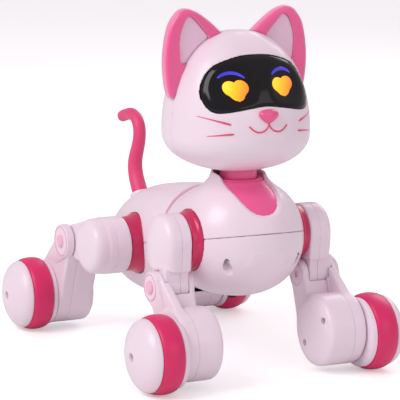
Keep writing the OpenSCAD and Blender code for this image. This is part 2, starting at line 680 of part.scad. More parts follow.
// Domed cap with a hole in the middle of its face and a plug inside the tyre
module hub_dome(leg) color(shell_pink) {
  rim_x = tyre_end_x + 0.05;
  recess_x = tyre_end_x + dome_h - 3;
  x_turned(axle[leg], concat(
    [[hub_end_x, 3], [hub_end_x, hub_r - 0.3], [tyre_end_x, hub_r - 0.3], [rim_x, dome_r]],
    [for (i = [1 : 8]) let (a = 10.2 * i) [rim_x + dome_h * sin(a), dome_r * cos(a)]],
    [[recess_x, 3.6], [recess_x, 1.2], [tyre_end_x + 4, 1.2], [tyre_end_x + 4, 3]]));
}

// ---------------------------------------------------------------- leg nodes
module right() mirror([1, 0, 0]) children();

module fl_thigh_outer_shell() thigh_outer(FRONT);
module fl_thigh_inner_shell() thigh_inner(FRONT);
module fl_shin_outer_shell() shin_outer(FRONT);
module fl_shin_inner_shell() shin_inner(FRONT);
module fl_knee_pin() knee_pin(FRONT);
module fl_wheel_motor() wheel_motor(FRONT);
module fl_wheel_hub() wheel_hub(FRONT);
module fl_tyre() tyre(FRONT);
module fl_hub_dome() hub_dome(FRONT);
module fr_thigh_outer_shell() right() thigh_outer(FRONT);
module fr_thigh_inner_shell() right() thigh_inner(FRONT);
module fr_shin_outer_shell() right() shin_outer(FRONT);
module fr_shin_inner_shell() right() shin_inner(FRONT);
module fr_knee_pin() right() knee_pin(FRONT);
module fr_wheel_motor() right() wheel_motor(FRONT);
module fr_wheel_hub() right() wheel_hub(FRONT);
module fr_tyre() right() tyre(FRONT);
module fr_hub_dome() right() hub_dome(FRONT);
module rl_thigh_outer_shell() thigh_outer(REAR);
module rl_thigh_inner_shell() thigh_inner(REAR);
module rl_shin_outer_shell() shin_outer(REAR);
module rl_shin_inner_shell() shin_inner(REAR);
module rl_knee_pin() knee_pin(REAR);
module rl_wheel_motor() wheel_motor(REAR);
module rl_wheel_hub() wheel_hub(REAR);
module rl_tyre() tyre(REAR);
module rl_hub_dome() hub_dome(REAR);
module rr_thigh_outer_shell() right() thigh_outer(REAR);
module rr_thigh_inner_shell() right() thigh_inner(REAR);
module rr_shin_outer_shell() right() shin_outer(REAR);
module rr_shin_inner_shell() right() shin_inner(REAR);
module rr_knee_pin() right() knee_pin(REAR);
module rr_wheel_motor() right() wheel_motor(REAR);
module rr_wheel_hub() right() wheel_hub(REAR);
module rr_tyre() right() tyre(REAR);
module rr_hub_dome() right() hub_dome(REAR);

translate([0, origin_y, 0]) {
  body_upper_shell();
  body_lower_shell();
  waist_ring();
  chest_bib();
  neck_bearing();
  hip_collars();
  gear_motors();
  main_board();
  battery_pack();
  battery_door();
  speaker();
  torso_screws();
  tail_socket();
  power_switch();
  neck_tube();
  head_front_shell();
  head_rear_shell();
  ear_frames();
  face_visor();
  eye_lights();
  eye_led_board();
  nose();
  face_trim();
  tail();
  fl_thigh_outer_shell();
  fl_thigh_inner_shell();
  fl_shin_outer_shell();
  fl_shin_inner_shell();
  fl_knee_pin();
  fl_wheel_motor();
  fl_wheel_hub();
  fl_tyre();
  fl_hub_dome();
  fr_thigh_outer_shell();
  fr_thigh_inner_shell();
  fr_shin_outer_shell();
  fr_shin_inner_shell();
  fr_knee_pin();
  fr_wheel_motor();
  fr_wheel_hub();
  fr_tyre();
  fr_hub_dome();
  rl_thigh_outer_shell();
  rl_thigh_inner_shell();
  rl_shin_outer_shell();
  rl_shin_inner_shell();
  rl_knee_pin();
  rl_wheel_motor();
  rl_wheel_hub();
  rl_tyre();
  rl_hub_dome();
  rr_thigh_outer_shell();
  rr_thigh_inner_shell();
  rr_shin_outer_shell();
  rr_shin_inner_shell();
  rr_knee_pin();
  rr_wheel_motor();
  rr_wheel_hub();
  rr_tyre();
  rr_hub_dome();
}
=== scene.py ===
"""A pink robot pet with ears, heart-shaped eyes and a curled tail, on four wheeled legs.

It faces -Y, its left side is +X, and its wheels stand on Z = 0. Lengths are in millimetres
unless said otherwise. Pairs such as a hip or an axle are (Y, Z) places.
"""
import math
from types import SimpleNamespace

import bmesh
import bpy
import numpy as np
from mathutils import Matrix, Vector


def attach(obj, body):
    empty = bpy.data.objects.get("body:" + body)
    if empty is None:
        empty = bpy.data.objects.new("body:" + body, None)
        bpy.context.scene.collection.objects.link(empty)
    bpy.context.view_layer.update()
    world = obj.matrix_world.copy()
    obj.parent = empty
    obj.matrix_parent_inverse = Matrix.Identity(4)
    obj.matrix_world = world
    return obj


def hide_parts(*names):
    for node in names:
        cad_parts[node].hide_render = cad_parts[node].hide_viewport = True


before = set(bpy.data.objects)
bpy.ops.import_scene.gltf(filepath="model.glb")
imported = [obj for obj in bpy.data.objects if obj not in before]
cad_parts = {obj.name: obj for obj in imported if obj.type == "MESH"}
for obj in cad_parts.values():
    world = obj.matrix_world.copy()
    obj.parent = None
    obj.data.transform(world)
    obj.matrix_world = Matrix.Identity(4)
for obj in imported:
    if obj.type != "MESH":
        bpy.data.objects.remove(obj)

MM = 0.001
F4 = np.float32
ORIGIN_Y = 3.5          # the shapes' origin lies this far behind the frame's, toward the tail
SHARP_ANGLE = 42        # degrees between faces, above which an edge stays crisp
TINY = 1e-6

# Grid steps of the large shells
BODY_STEP = 0.8
HEAD_STEP = 0.75
LEG_STEP = 0.55

WALL = 2.4              # thickness of the body and head shells
NECK = (0, -67)         # (X, Y) of the neck's upright axis

KNEE_RADIUS = 11.0
FRONT = SimpleNamespace(
    letter="f", hip=(-70, 92.5), knee=(-75, 63.5), axle=(-110, 26.5),
    hip_socket=20.85, drum=(-102, 29), drum_radius=24.3, foot_direction=-1,
    # thigh: seam, box, how far each half's box runs past the seam, hollow at the hip
    thigh_seam=52.6, thigh_low=(26, -91, 51), thigh_high=(69.5, -50, 113.5),
    inner_to=54, outer_from=51, hip_hollow=13, hip_hollow_to=61,
    # pointed ear on the outside of the shin
    ear_length=29, ear_radius=10.4, ear_drop=2.8, ear_from=59, ear_ring=8.3,
    motor_hollow=13.9,
    collar=[(24, 8.1), (24, 20.5), (39.4, 20.5), (41.2, 19.0), (44.8, 18.5), (44.8, 8.1)])
REAR = SimpleNamespace(
    letter="r", hip=(19, 75), knee=(73.5, 69.5), axle=(103, 26.5),
    hip_socket=21.75, drum=(103, 26.5), drum_radius=22.5, foot_direction=1,
    thigh_seam=58.5, thigh_low=(26, -3, 53), thigh_high=(78.5, 86.5, 97),
    inner_to=60, outer_from=57, hip_hollow=14.5, hip_hollow_to=70,
    ear_length=22, ear_radius=12.2, ear_drop=2.0, ear_from=64.2, ear_ring=10.1,
    motor_hollow=18,
    collar=[(24, 8.1), (24, 21.4), (36.5, 21.4), (39.6, 19.7), (46.9, 19.0), (46.9, 8.1)])


# ------------------------------------------------------------------ fields
# A field takes x, y, z arrays and gives a signed distance, negative inside.


def soft_min(a, b, blend):
    """The union of two fields, its crease rounded over the length blend."""
    share = np.clip(0.5 + 0.5 * (b - a) / blend, 0, 1)
    return b + (a - b) * share - blend * share * (1 - share)


def soft_max(a, b, blend):
    """The overlap of two fields, its edge rounded over the length blend."""
    return -soft_min(-a, -b, blend)


def smooth_step(start, end, value):
    ratio = np.clip((value - start) / (end - start), 0, 1)
    return ratio * ratio * (3 - 2 * ratio)


def power_sum(a, b, power):
    return (a ** power + b ** power) ** (1 / power)


def radius_from(u, v, centre):
    return np.hypot(u - centre[0], v - centre[1])


def outline_distance(u, v, outline):
    """Signed distance to a closed outline."""
    squared = np.full(np.shape(u), 1e9, F4)
    sign = np.ones(np.shape(u), F4)
    for i, (start_u, start_v) in enumerate(outline):
        end_u, end_v = outline[(i + 1) % len(outline)]
        edge_u, edge_v = end_u - start_u, end_v - start_v
        off_u, off_v = u - start_u, v - start_v
        along = (off_u * edge_u + off_v * edge_v) / (edge_u * edge_u + edge_v * edge_v)
        along = np.clip(along, 0, 1)
        gap = (off_u - edge_u * along) ** 2 + (off_v - edge_v * along) ** 2
        squared = np.minimum(squared, gap)
        above, below, beside = v >= start_v, v < end_v, edge_u * off_v > edge_v * off_u
        crossed = (above & below & beside) | (~above & ~below & ~beside)
        sign = np.where(crossed, -sign, sign)
    return sign * np.sqrt(squared)


def smooth_outline(points, steps, closed=True):
    """A Catmull-Rom curve through the points."""
    points = np.array(points, float)
    count = len(points)

    def point(i):
        return points[i % count if closed else min(max(i, 0), count - 1)]

    curve = []
    for i in range(count if closed else count - 1):
        a, b, c, d = (point(i + k) for k in (-1, 0, 1, 2))
        for j in range(steps):
            t = j / steps
            curve.append(0.5 * (2 * b + (c - a) * t + (2 * a - 5 * b + 4 * c - d) * t * t
                                + (3 * b - a - 3 * c + d) * t ** 3))
    if not closed:
        curve.append(points[-1])
    return np.array(curve)


def bar_along_x(x, y, z, centre, radius, start, end, ease):
    """A round bar along X with eased edges."""
    side = radius_from(y, z, centre) - radius
    return soft_max(soft_max(side, x - end, ease), start - x, ease)


def tapered_outline(y, z, start, start_radius, end, end_radius):
    """Signed distance to the outline round two circles."""
    length = math.hypot(end[0] - start[0], end[1] - start[1])
    dir_y, dir_z = (end[0] - start[0]) / length, (end[1] - start[1]) / length
    along = (y - start[0]) * dir_y + (z - start[1]) * dir_z
    aside = np.abs(-(y - start[0]) * dir_z + (z - start[1]) * dir_y)
    sine = (start_radius - end_radius) / length
    cosine = math.sqrt(1 - sine * sine)
    side = along * sine + aside * cosine - start_radius
    slid = along * cosine - aside * sine
    start_round = np.hypot(along, aside) - start_radius
    end_round = np.hypot(along - length, aside) - end_radius
    return np.where(slid < 0, start_round, np.where(slid > length * cosine, end_round, side))


# ------------------------------------------------------------------ meshes
def add_object(name, mesh):
    piece = bpy.data.objects.new(name, mesh)
    bpy.context.scene.collection.objects.link(piece)
    return piece


def make_piece(name, vertices, faces):
    """An object from vertices and either an array of quads or a list of mixed faces."""
    mesh = bpy.data.meshes.new(name)
    vertices = (np.asarray(vertices, float) + [0, ORIGIN_Y, 0]) * MM
    if isinstance(faces, np.ndarray):
        mesh.vertices.add(len(vertices))
        mesh.vertices.foreach_set("co", vertices.astype(F4).ravel())
        mesh.loops.add(faces.size)
        mesh.polygons.add(len(faces))
        mesh.loops.foreach_set("vertex_index", faces.astype(np.int32).ravel())
        starts = (np.arange(len(faces)) * faces.shape[1]).astype(np.int32)
        mesh.polygons.foreach_set("loop_start", starts)
        mesh.update(calc_edges=True)
    else:
        mesh.from_pydata(vertices.tolist(), [], faces)
    mesh.validate()
    mesh.polygons.foreach_set("use_smooth", np.ones(len(mesh.polygons), bool))
    mesh.set_sharp_from_angle(angle=math.radians(SHARP_ANGLE))
    return add_object(name, mesh)


def sample_field(field, low, size, step):
    """Grid values of the field: exact near its surface, coarse elsewhere."""
    block = 6
    blocks = -(-size // block)
    coarse_axes = [(low[i] + step * (np.arange(blocks[i]) * block + (block - 1) / 2)).astype(F4)
                   for i in range(3)]

    def spread(coarse):
        for i in range(3):
            coarse = np.repeat(coarse, block, i)
        return coarse[: size[0], : size[1], : size[2]]

    coarse = np.broadcast_to(field(*np.meshgrid(*coarse_axes, indexing="ij")), tuple(blocks))
    values = spread(coarse).astype(F4)
    near = np.nonzero(spread(np.abs(coarse) < step * block * 1.15 + 1.2))
    axes = [(low[i] + step * np.arange(size[i])).astype(F4) for i in range(3)]
    values[near] = field(*(axes[i][near[i]] for i in range(3)))
    # the faces of the box count as outside, which closes the mesh
    for i in range(3):
        for end in (0, -1):
            face = [slice(None)] * 3
            face[i] = end
            values[tuple(face)] = np.maximum(values[tuple(face)], 0.01)
    return values


def settle(field, vertices, step):
    """Moves the vertices onto the surface by three short Newton steps."""
    probe = 0.05 * step
    for _ in range(3):
        dist = field(*vertices.T)
        slope = np.stack([field(*(vertices + shift).T) - field(*(vertices - shift).T)
                          for shift in probe * np.eye(3)], 1) / (2 * probe)
        move = -(dist / np.maximum((slope ** 2).sum(1), 0.2))[:, None] * slope
        length = np.linalg.norm(move, axis=1, keepdims=True)
        move *= np.minimum(1, 0.3 * step / np.maximum(length, 1e-9))
        vertices = vertices + move
    return vertices


def field_piece(name, field, low, high, step):
    """A closed mesh of the surface field = 0 inside the box, by surface nets."""
    low = np.array(low, float)
    size = np.ceil((np.array(high, float) - low) / step).astype(int) + 1
    values = sample_field(field, low, size, step)
    inside = values < 0
    corners = [(i, j, k) for i in (0, 1) for j in (0, 1) for k in (0, 1)]

    # a cell whose corners differ holds one vertex
    count = np.zeros(tuple(size - 1), np.int8)
    for i, j, k in corners:
        count += inside[i : size[0] - 1 + i, j : size[1] - 1 + j, k : size[2] - 1 + k]
    active = (count > 0) & (count < 8)
    cells = np.argwhere(active)
    ids = np.full(active.shape, -1, np.int32)
    ids[active] = np.arange(len(cells), dtype=np.int32)

    # it starts at the mean of the points where the surface crosses the cell's edges
    total = np.zeros((len(cells), 3))
    crossings = np.zeros(len(cells))
    at_corner = {c: values[cells[:, 0] + c[0], cells[:, 1] + c[1], cells[:, 2] + c[2]]
                 .astype(float) for c in corners}
    for corner in corners:
        for axis in range(3):
            if corner[axis]:
                continue
            other = list(corner)
            other[axis] = 1
            value, next_value = at_corner[corner], at_corner[tuple(other)]
            crossed = (value < 0) != (next_value < 0)
            place = np.tile(np.array(corner, float), (len(cells), 1))
            change = np.where(crossed, value - next_value, 1)
            place[:, axis] = np.where(crossed, value / change, 0)
            total[crossed] += place[crossed]
            crossings[crossed] += 1
    vertices = low + step * (cells + total / crossings[:, None])
    vertices = settle(field, vertices, step)
    # a vertex stays in its own cell, so that faces never fold over
    slack = 0.05 * step
    vertices = np.clip(vertices, low + step * cells - slack, low + step * (cells + 1) + slack)

    # a grid edge that crosses the surface gives a quad between its four cells
    quads = []
    for axis in range(3):
        side, other = (axis + 1) % 3, (axis + 2) % 3
        before = [slice(None)] * 3
        after = [slice(None)] * 3
        before[axis], after[axis] = slice(0, -1), slice(1, None)
        starts_inside = inside[tuple(before)]
        edges = np.argwhere(starts_inside != inside[tuple(after)])
        edges = edges[(edges[:, side] > 0) & (edges[:, other] > 0)
                      & (edges[:, side] < size[side] - 1) & (edges[:, other] < size[other] - 1)]
        outward = starts_inside[tuple(edges.T)]
        around = []
        for side_shift, other_shift in ((-1, -1), (0, -1), (0, 0), (-1, 0)):
            cell = edges.copy()
            cell[:, side] += side_shift
            cell[:, other] += other_shift
            around.append(ids[tuple(cell.T)])
        faces = np.stack(around, 1)
        faces[~outward] = faces[~outward][:, ::-1]
        quads.append(faces)
    return make_piece(name, vertices, np.concatenate(quads))


def ring_faces(rings, closed=False):
    """Faces between rings of vertices, where a ring of one vertex is a tip."""
    pairs = list(zip(rings, rings[1:]))
    if closed:
        pairs.append((rings[-1], rings[0]))
    faces = []
    for ring, following in pairs:
        count = max(len(ring), len(following))
        for i in range(count):
            j = (i + 1) % count
            if len(ring) == 1:
                faces.append((ring[0], following[j], following[i]))
            elif len(following) == 1:
                faces.append((ring[i], ring[j], following[0]))
            else:
                faces.append((ring[i], ring[j], following[j], following[i]))
    return faces


def turned(centre, profile, segments, side=1, axis="X"):
    """Vertices and faces of a solid turned about X at (Y, Z) or about Z at (X, Y).

    The profile's points are (along the axis, radius). A profile that doesn't start on the
    axis closes on itself. A side of -1 mirrors the solid in X.
    """
    vertices, rings = [], []
    for along, radius in profile:
        count = segments if radius >= TINY else 1
        rings.append(list(range(len(vertices), len(vertices) + count)))
        if count == 1:
            vertices.append((along, 0, 0))
            continue
        for i in range(segments):
            angle = 2 * math.pi * i / segments
            vertices.append((along, radius * math.cos(angle), radius * math.sin(angle)))
    vertices = np.array(vertices, float)
    if axis == "X":
        vertices = vertices + np.array([0, centre[0], centre[1]])
    else:
        vertices = np.stack([vertices[:, 1] + centre[0], vertices[:, 2] + centre[1],
                             vertices[:, 0]], 1)
    return vertices * np.array([side, 1, 1]), ring_faces(rings, closed=len(rings[0]) > 1)


def rounded(points, radius):
    """Rounds the inner corners of an open profile."""
    steps = 5
    profile = [points[0]]
    for i in range(1, len(points) - 1):
        before, corner, after = (np.array(points[k], float) for k in (i - 1, i, i + 1))
        to_before = np.linalg.norm(before - corner)
        to_after = np.linalg.norm(after - corner)
        reach = min(radius, to_before * 0.48, to_after * 0.48)
        start = corner + (before - corner) / to_before * reach
        end = corner + (after - corner) / to_after * reach
        for j in range(steps + 1):
            t = j / steps
            profile.append(tuple((1 - t) ** 2 * start + 2 * t * (1 - t) * corner + t * t * end))
    profile.append(points[-1])
    return profile


def rounded_loop(points, radius):
    """Rounds all corners of a closed profile but the first."""
    return rounded(points + [points[0]], radius)[:-1]


def tube(points, radii, segments):
    """Vertices and faces of a swept bar with rounded ends."""
    points = np.array(points, float)
    radii = np.array(radii, float)
    tangents = np.gradient(points, axis=0)
    tangents /= np.linalg.norm(tangents, axis=1, keepdims=True)
    first = tangents[0]
    guide = np.array([1.0, 0, 0]) if abs(first[0]) < 0.8 else np.array([0, 1.0, 0])
    normal = guide - first * (guide @ first)
    normal /= np.linalg.norm(normal)
    normals = []
    for tangent in tangents:
        normal = normal - tangent * (normal @ tangent)
        normal /= np.linalg.norm(normal)
        normals.append(normal.copy())
    vertices, rings = [], []

    def add_tip(place):
        rings.append([len(vertices)])
        vertices.append(place)

    def add_ring(centre, normal, tangent, radius):
        binormal = np.cross(tangent, normal)
        rings.append(list(range(len(vertices), len(vertices) + segments)))
        for i in range(segments):
            angle = 2 * math.pi * i / segments
            vertices.append(centre + radius * (math.cos(angle) * normal
                                               + math.sin(angle) * binormal))

    def add_cap_ring(end, direction, step):
        angle = math.pi / 2 * step / cap_steps
        shift = direction * tangents[end] * radii[end] * math.cos(angle)
        add_ring(points[end] + shift, normals[end], tangents[end], radii[end] * math.sin(angle))

    cap_steps = 6
    add_tip(points[0] - tangents[0] * radii[0])
    for j in range(1, cap_steps):
        add_cap_ring(0, -1, j)
    for station in zip(points, normals, tangents, radii):
        add_ring(*station)
    for j in range(cap_steps - 1, 0, -1):
        add_cap_ring(-1, 1, j)
    add_tip(points[-1] + tangents[-1] * radii[-1])
    return vertices, ring_faces(rings)


def joined_piece(name, parts):
    """One object from several (vertices, faces) parts, with all faces turned outward."""
    vertices, faces = [], []
    for part_vertices, part_faces in parts:
        offset = len(vertices)
        vertices += [tuple(v) for v in part_vertices]
        faces += [tuple(i + offset for i in face) for face in part_faces]
    piece = make_piece(name, np.array(vertices, float), faces)
    work = bmesh.new()
    work.from_mesh(piece.data)
    bmesh.ops.recalc_face_normals(work, faces=work.faces)
    work.to_mesh(piece.data)
    work.free()
    return piece


def turned_piece(name, *shape, **options):
    return joined_piece(name, [turned(*shape, **options)])


def dress(piece, material, body, slot, *replaced):
    """Gives a piece its only material and its moving body, and hides the CAD it replaces. The slot
    is not used.
    """
    piece.data.materials.clear()
    piece.data.materials.append(material)
    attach(piece, body)
    if replaced:
        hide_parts(*replaced)


# ------------------------------------------------------------------ materials
def linear(rgb, gain=1):
    """Linear RGBA of an sRGB colour, brightened by gain."""
    return tuple((v / 12.92 if v <= 0.04045 else ((v + 0.055) / 1.055) ** 2.4) * gain
                 for v in rgb) + (1.0,)


def add_node(tree, kind, **values):
    """A shader node; the inputs' names are written with underscores for spaces."""
    node = tree.nodes.new("ShaderNode" + kind)
    for name, value in values.items():
        node.inputs[name.replace("_", " ")].default_value = value
    return node


def add_noise(tree, coordinates, **values):
    noise = add_node(tree, "TexNoise", **values)
    tree.links.new(coordinates.outputs["Object"], noise.inputs["Vector"])
    return noise.outputs["Fac"]


def new_material(name):
    """A material with its tree and main shader."""
    material = bpy.data.materials.new(name)
    material.use_nodes = True
    tree = material.node_tree
    return material, tree, tree.nodes["Principled BSDF"]


def plastic(name, rgb, rough=0.35, coat=0.25, coat_rough=0.15, vary=0.03, grain=0.02,
            grain_size=900, spec=0.5, metal=0.0, edge=None):
    """A surface with a slow colour drift, a fine grain and an uneven gloss.

    vary is the drift's share of the colour, grain and grain_size are the bump's strength and
    scale, and edge is an optional painted highlight: a lighter colour mixed in toward grazing
    views.
    """
    material, tree, shader = new_material(name)
    link = tree.links.new
    coordinates = add_node(tree, "TexCoord")

    drift = add_noise(tree, coordinates, Scale=22, Detail=3)
    ramp = add_node(tree, "ValToRGB")
    for stop, position, gain in zip(ramp.color_ramp.elements, (0.3, 0.7), (1 - vary, 1 + vary)):
        stop.position = position
        stop.color = linear(rgb, gain)
    link(drift, ramp.inputs["Fac"])
    color = ramp.outputs["Color"]
    # painted highlight: the colour turns toward the edge colour where the surface is seen at a
    # grazing angle
    if edge is not None:
        facing = add_node(tree, "LayerWeight", Blend=0.35)
        mix = tree.nodes.new("ShaderNodeMix")
        mix.data_type = "RGBA"
        # the mix node's colour sockets share their names, so they go by number
        link(facing.outputs["Facing"], mix.inputs[0])
        link(color, mix.inputs[6])
        mix.inputs[7].default_value = linear(edge)
        color = mix.outputs[2]
    link(color, shader.inputs["Base Color"])

    texture = add_noise(tree, coordinates, Scale=grain_size, Detail=2)
    bump = add_node(tree, "Bump", Strength=grain, Distance=0.0004)
    link(texture, bump.inputs["Height"])
    link(bump.outputs["Normal"], shader.inputs["Normal"])

    gloss = add_node(tree, "MapRange", To_Min=rough - 0.04, To_Max=rough + 0.04)
    link(add_noise(tree, coordinates, Scale=60), gloss.inputs["Value"])
    link(gloss.outputs["Result"], shader.inputs["Roughness"])
    for socket, value in (("Metallic", metal), ("Coat Weight", coat),
                          ("Coat Roughness", coat_rough), ("Specular IOR Level", spec)):
        shader.inputs[socket].default_value = value
    return material


def glow(name, low_rgb, high_rgb, centre, axis, span, strength):
    """A lit lens whose colour runs along axis, over span to either side of centre."""
    material, tree, shader = new_material(name)
    link = tree.links.new
    coordinates = add_node(tree, "TexCoord")
    offset = tree.nodes.new("ShaderNodeVectorMath")
    offset.operation = "SUBTRACT"
    offset.inputs[1].default_value = [v * MM for v in (centre[0], centre[1] + ORIGIN_Y, centre[2])]
    link(coordinates.outputs["Object"], offset.inputs[0])
    along = tree.nodes.new("ShaderNodeVectorMath")
    along.operation = "DOT_PRODUCT"
    length = math.sqrt(sum(a * a for a in axis))
    along.inputs[1].default_value = [a / length for a in axis]
    link(offset.outputs[0], along.inputs[0])
    place = add_node(tree, "MapRange", From_Min=-span * MM, From_Max=span * MM)
    link(along.outputs["Value"], place.inputs["Value"])
    ramp = add_node(tree, "ValToRGB")
    ramp.color_ramp.elements[0].color = linear(low_rgb)
    ramp.color_ramp.elements[1].color = linear(high_rgb)
    link(place.outputs["Result"], ramp.inputs["Fac"])
    flicker = add_noise(tree, coordinates, Scale=350)
    power = add_node(tree, "MapRange", To_Min=strength * 0.9, To_Max=strength * 1.1)
    link(flicker, power.inputs["Value"])
    link(ramp.outputs["Color"], shader.inputs["Base Color"])
    link(ramp.outputs["Color"], shader.inputs["Emission Color"])
    link(power.outputs["Result"], shader.inputs["Emission Strength"])
    shader.inputs["Roughness"].default_value = 0.25
    return material


PALE = plastic("pale_pink_plastic", (0.95, 0.882, 0.925), rough=0.36, coat=0.22,
               coat_rough=0.12, vary=0.012, grain=0.03)
# a darker copy of the pale plastic: painted shade for the ears' recessed pockets
PALE_POCKET_SHADE = plastic("ear_pocket_shade", (0.93, 0.80, 0.88), rough=0.5, coat=0.05, vary=0.015, grain=0.05)
HOT_PINK = plastic("hot_pink_plastic", (0.97, 0.37, 0.61), rough=0.34, grain=0.03)
# a copy of the hot pink plastic, a little darker, with a painted highlight toward grazing views
EAR_PINK_HIGHLIT = plastic("ear_pink_painted_highlight", (0.95, 0.33, 0.58), rough=0.3, coat=0.35,
                   edge=(1.0, 0.72, 0.84))
ROSE = plastic("rose_plastic", (0.80, 0.08, 0.34), rough=0.3, coat=0.35, grain=0.03)
TYRE = plastic("tyre_rubber", (0.88, 0.12, 0.40), rough=0.42, coat=0.15, coat_rough=0.3,
               vary=0.05, grain=0.12, grain_size=1400)
TAIL_RUBBER = plastic("tail_rubber", (0.92, 0.27, 0.49), rough=0.5, coat=0.1, coat_rough=0.3,
                      vary=0.04, grain=0.08, grain_size=1200)
NOSE = plastic("nose_gloss", (0.95, 0.33, 0.56), rough=0.2, coat=0.8, coat_rough=0.05,
               vary=0.02, grain=0.01)
TRIM = plastic("trim_pink", (0.90, 0.33, 0.50), rough=0.4, coat=0.2)
BLACK = plastic("visor_black", (0.05, 0.045, 0.055), rough=0.12, coat=0.05, coat_rough=0.05,
                vary=0.1, grain=0.004, spec=0.3)
CAP = plastic("cap_pink", (0.96, 0.73, 0.83), coat=0.3, vary=0.02)
RING = plastic("ring_pink", (0.95, 0.68, 0.79), rough=0.4, coat=0.2)
METAL = plastic("motor_metal", (0.72, 0.72, 0.75), rough=0.3, coat=0, vary=0.05, grain=0.1,
                metal=1.0)
STEEL = plastic("screw_steel", (0.55, 0.54, 0.56), coat=0, vary=0.1, grain=0.1, metal=1.0)
GREEN = plastic("board_green", (0.05, 0.35, 0.18), rough=0.45, coat=0.3, vary=0.1, grain=0.1)
WRAP = plastic("battery_wrap", (0.16, 0.28, 0.62), rough=0.4, coat=0.3, vary=0.05, grain=0.03)
DARK = plastic("black_plastic", (0.08, 0.08, 0.09), rough=0.45, coat=0.1, vary=0.1, grain=0.1)
HOLE = plastic("hole_shade", (0.62, 0.36, 0.48), rough=0.6, coat=0, vary=0.1, grain=0.1)


# ------------------------------------------------------------------ body
# The body has its own axes: station runs rearward and down at the pitch, height is square
# to it, and both are zero at BODY_CENTRE (Y, Z).
BODY_CENTRE = (-69, 92)
PITCH_COS, PITCH_SIN = math.cos(math.radians(11.1)), math.sin(math.radians(11.1))
BODY_POWER = 2.128      # squareness of the body's cross-section
WAIST_STATION = 42
SEAM_HEIGHT = 0.13      # half the gap between the upper and lower shells
TAIL_ROOT = (86, 98)
TAIL_LEAN = math.radians(32)


def to_body(y, z):
    rear, rise = y - BODY_CENTRE[0], z - BODY_CENTRE[1]
    return rear * PITCH_COS - rise * PITCH_SIN, rear * PITCH_SIN + rise * PITCH_COS


def chest_field(x, station, height):
    """A rounded nose ahead of station 0 and a narrowing barrel behind it."""
    half_width, half_height, nose_length = 43.6, 40.5, 44
    across, upward = np.abs(x) / half_width + TINY, np.abs(height) / half_height + TINY
    section = power_sum(across, upward, BODY_POWER)
    width_share = across ** 2 / (across ** 2 + upward ** 2)
    forward = np.maximum(-station, 0) / nose_length + TINY
    whole = power_sum(section, forward, 2.15 - 0.09 * width_share)
    nose = np.sqrt(x * x + height * height + station * station) * (1 - 1 / whole)
    size = 1 - 0.117 * (np.clip(station, 0, 60) / 40) ** 2
    barrel = np.hypot(x, height) * (1 - size / section)
    return np.where(station < 0, nose, barrel).astype(F4)


def rump_field(x, station, height):
    """A barrel that widens up to station 100 and a long rounded end behind it."""
    half_width, end_station, end_length = 41, 100, 67
    half_height = np.where(height > 0, 41.0, 38.6)
    across, upward = np.abs(x) / half_width + TINY, np.abs(height) / half_height + TINY
    section = power_sum(across, upward, BODY_POWER)
    size = 1 - 0.0732 * ((end_station - np.clip(station, 30, end_station)) / 56) ** 2
    barrel = np.hypot(x, height) * (1 - size / section)
    rearward = np.maximum(station - end_station, 0) / end_length + TINY
    whole = np.sqrt(section * section + rearward * rearward)
    end = np.sqrt(x * x + height * height + (station - end_station) ** 2 * 0.4) * (1 - 1 / whole)
    return np.where(station < end_station, barrel, end).astype(F4)


def collar_field(x, y, z):
    """The flared neck collar, turned about an axis that leans forward."""
    lean = math.radians(6)
    rear, rise = y + 66, z - 118
    along = rise * math.cos(lean) - rear * math.sin(lean)
    aside = rear * math.cos(lean) + rise * math.sin(lean)
    flare = 18.9 + 8.2 * (np.clip((18.5 - along) / 18.5, 0, 1.5)) ** 1.5
    side = (np.hypot(x, aside) - flare) * 0.86
    return soft_max(soft_max(side, along - 18.6, 1.6), -8 - along, 1.0)


def waist_radius(x, height):
    return np.hypot(x, height / 0.97)


def body_skin(x, y, z):
    """The outer skin, the skin without the collar's blend, the station and the height."""
    station, height = to_body(y, z)
    chest = soft_max(chest_field(x, station, height), station - 39.9, 0.9)
    rump = soft_max(rump_field(x, station, height), 44.1 - station, 0.9)
    waist = soft_max(np.abs(station - WAIST_STATION) - 5, waist_radius(x, height) - 36.1, 0.2)
    skin = soft_min(chest, collar_field(x, y, z), 5.0)
    skin = np.minimum(np.minimum(skin, rump), waist)
    return skin, np.minimum(chest, np.minimum(rump, waist)), station, height


# Left half of the bib's outline from the top down, as (x, height)
BIB_HALF = [(15.6, 60), (15.4, 45), (15.2, 36), (14.6, 29.5), (13, 23.5), (10.6, 18.6),
            (7.2, 15), (3.2, 13.4)]
BIB = smooth_outline([(-x, h) for x, h in BIB_HALF] + [(0, 13.1)] + BIB_HALF[::-1], 3)
# Raised plate under the chest, as (x, height)
CHEST_PLATE = [(-12.4, -11.6), (12.4, -11.6), (16, -21.5), (-16, -21.5)]


def body_shell(x, y, z):
    """The hollow body with its hip sockets and its neck opening."""
    skin, core, station, height = body_skin(x, y, z)
    wall = soft_max(skin, -(core + WALL), 0.4)
    waist_wall = np.maximum(skin, -(np.hypot(x, height) - 31.5))
    wall = np.where((station > 30) & (station < 52), waist_wall, wall)
    for leg in (FRONT, REAR):
        wall = soft_max(wall, leg.hip_socket - radius_from(y, z, leg.hip), 0.5)
    wall = soft_max(wall, np.minimum(17.1 - radius_from(x, y, NECK), z - 100), 0.4)
    return wall, skin, station, height


def upper_shell(x, y, z):
    wall, skin, station, height = body_shell(x, y, z)
    opening = outline_distance(x, height, BIB) - np.clip(2.6 + skin * 1.1, 0, 4.5)
    wall = soft_max(wall, -np.maximum(opening, station + 2), 0.5)
    wall = soft_max(wall, SEAM_HEIGHT - height, 0.25)
    # round hole for the tail
    rear, rise = y - TAIL_ROOT[0], z - TAIL_ROOT[1]
    aside = rear * math.cos(TAIL_LEAN) - rise * math.sin(TAIL_LEAN)
    along = rear * math.sin(TAIL_LEAN) + rise * math.cos(TAIL_LEAN)
    return soft_max(wall, -np.maximum(np.hypot(x, aside) - 8.15, -22 - along), 0.4)


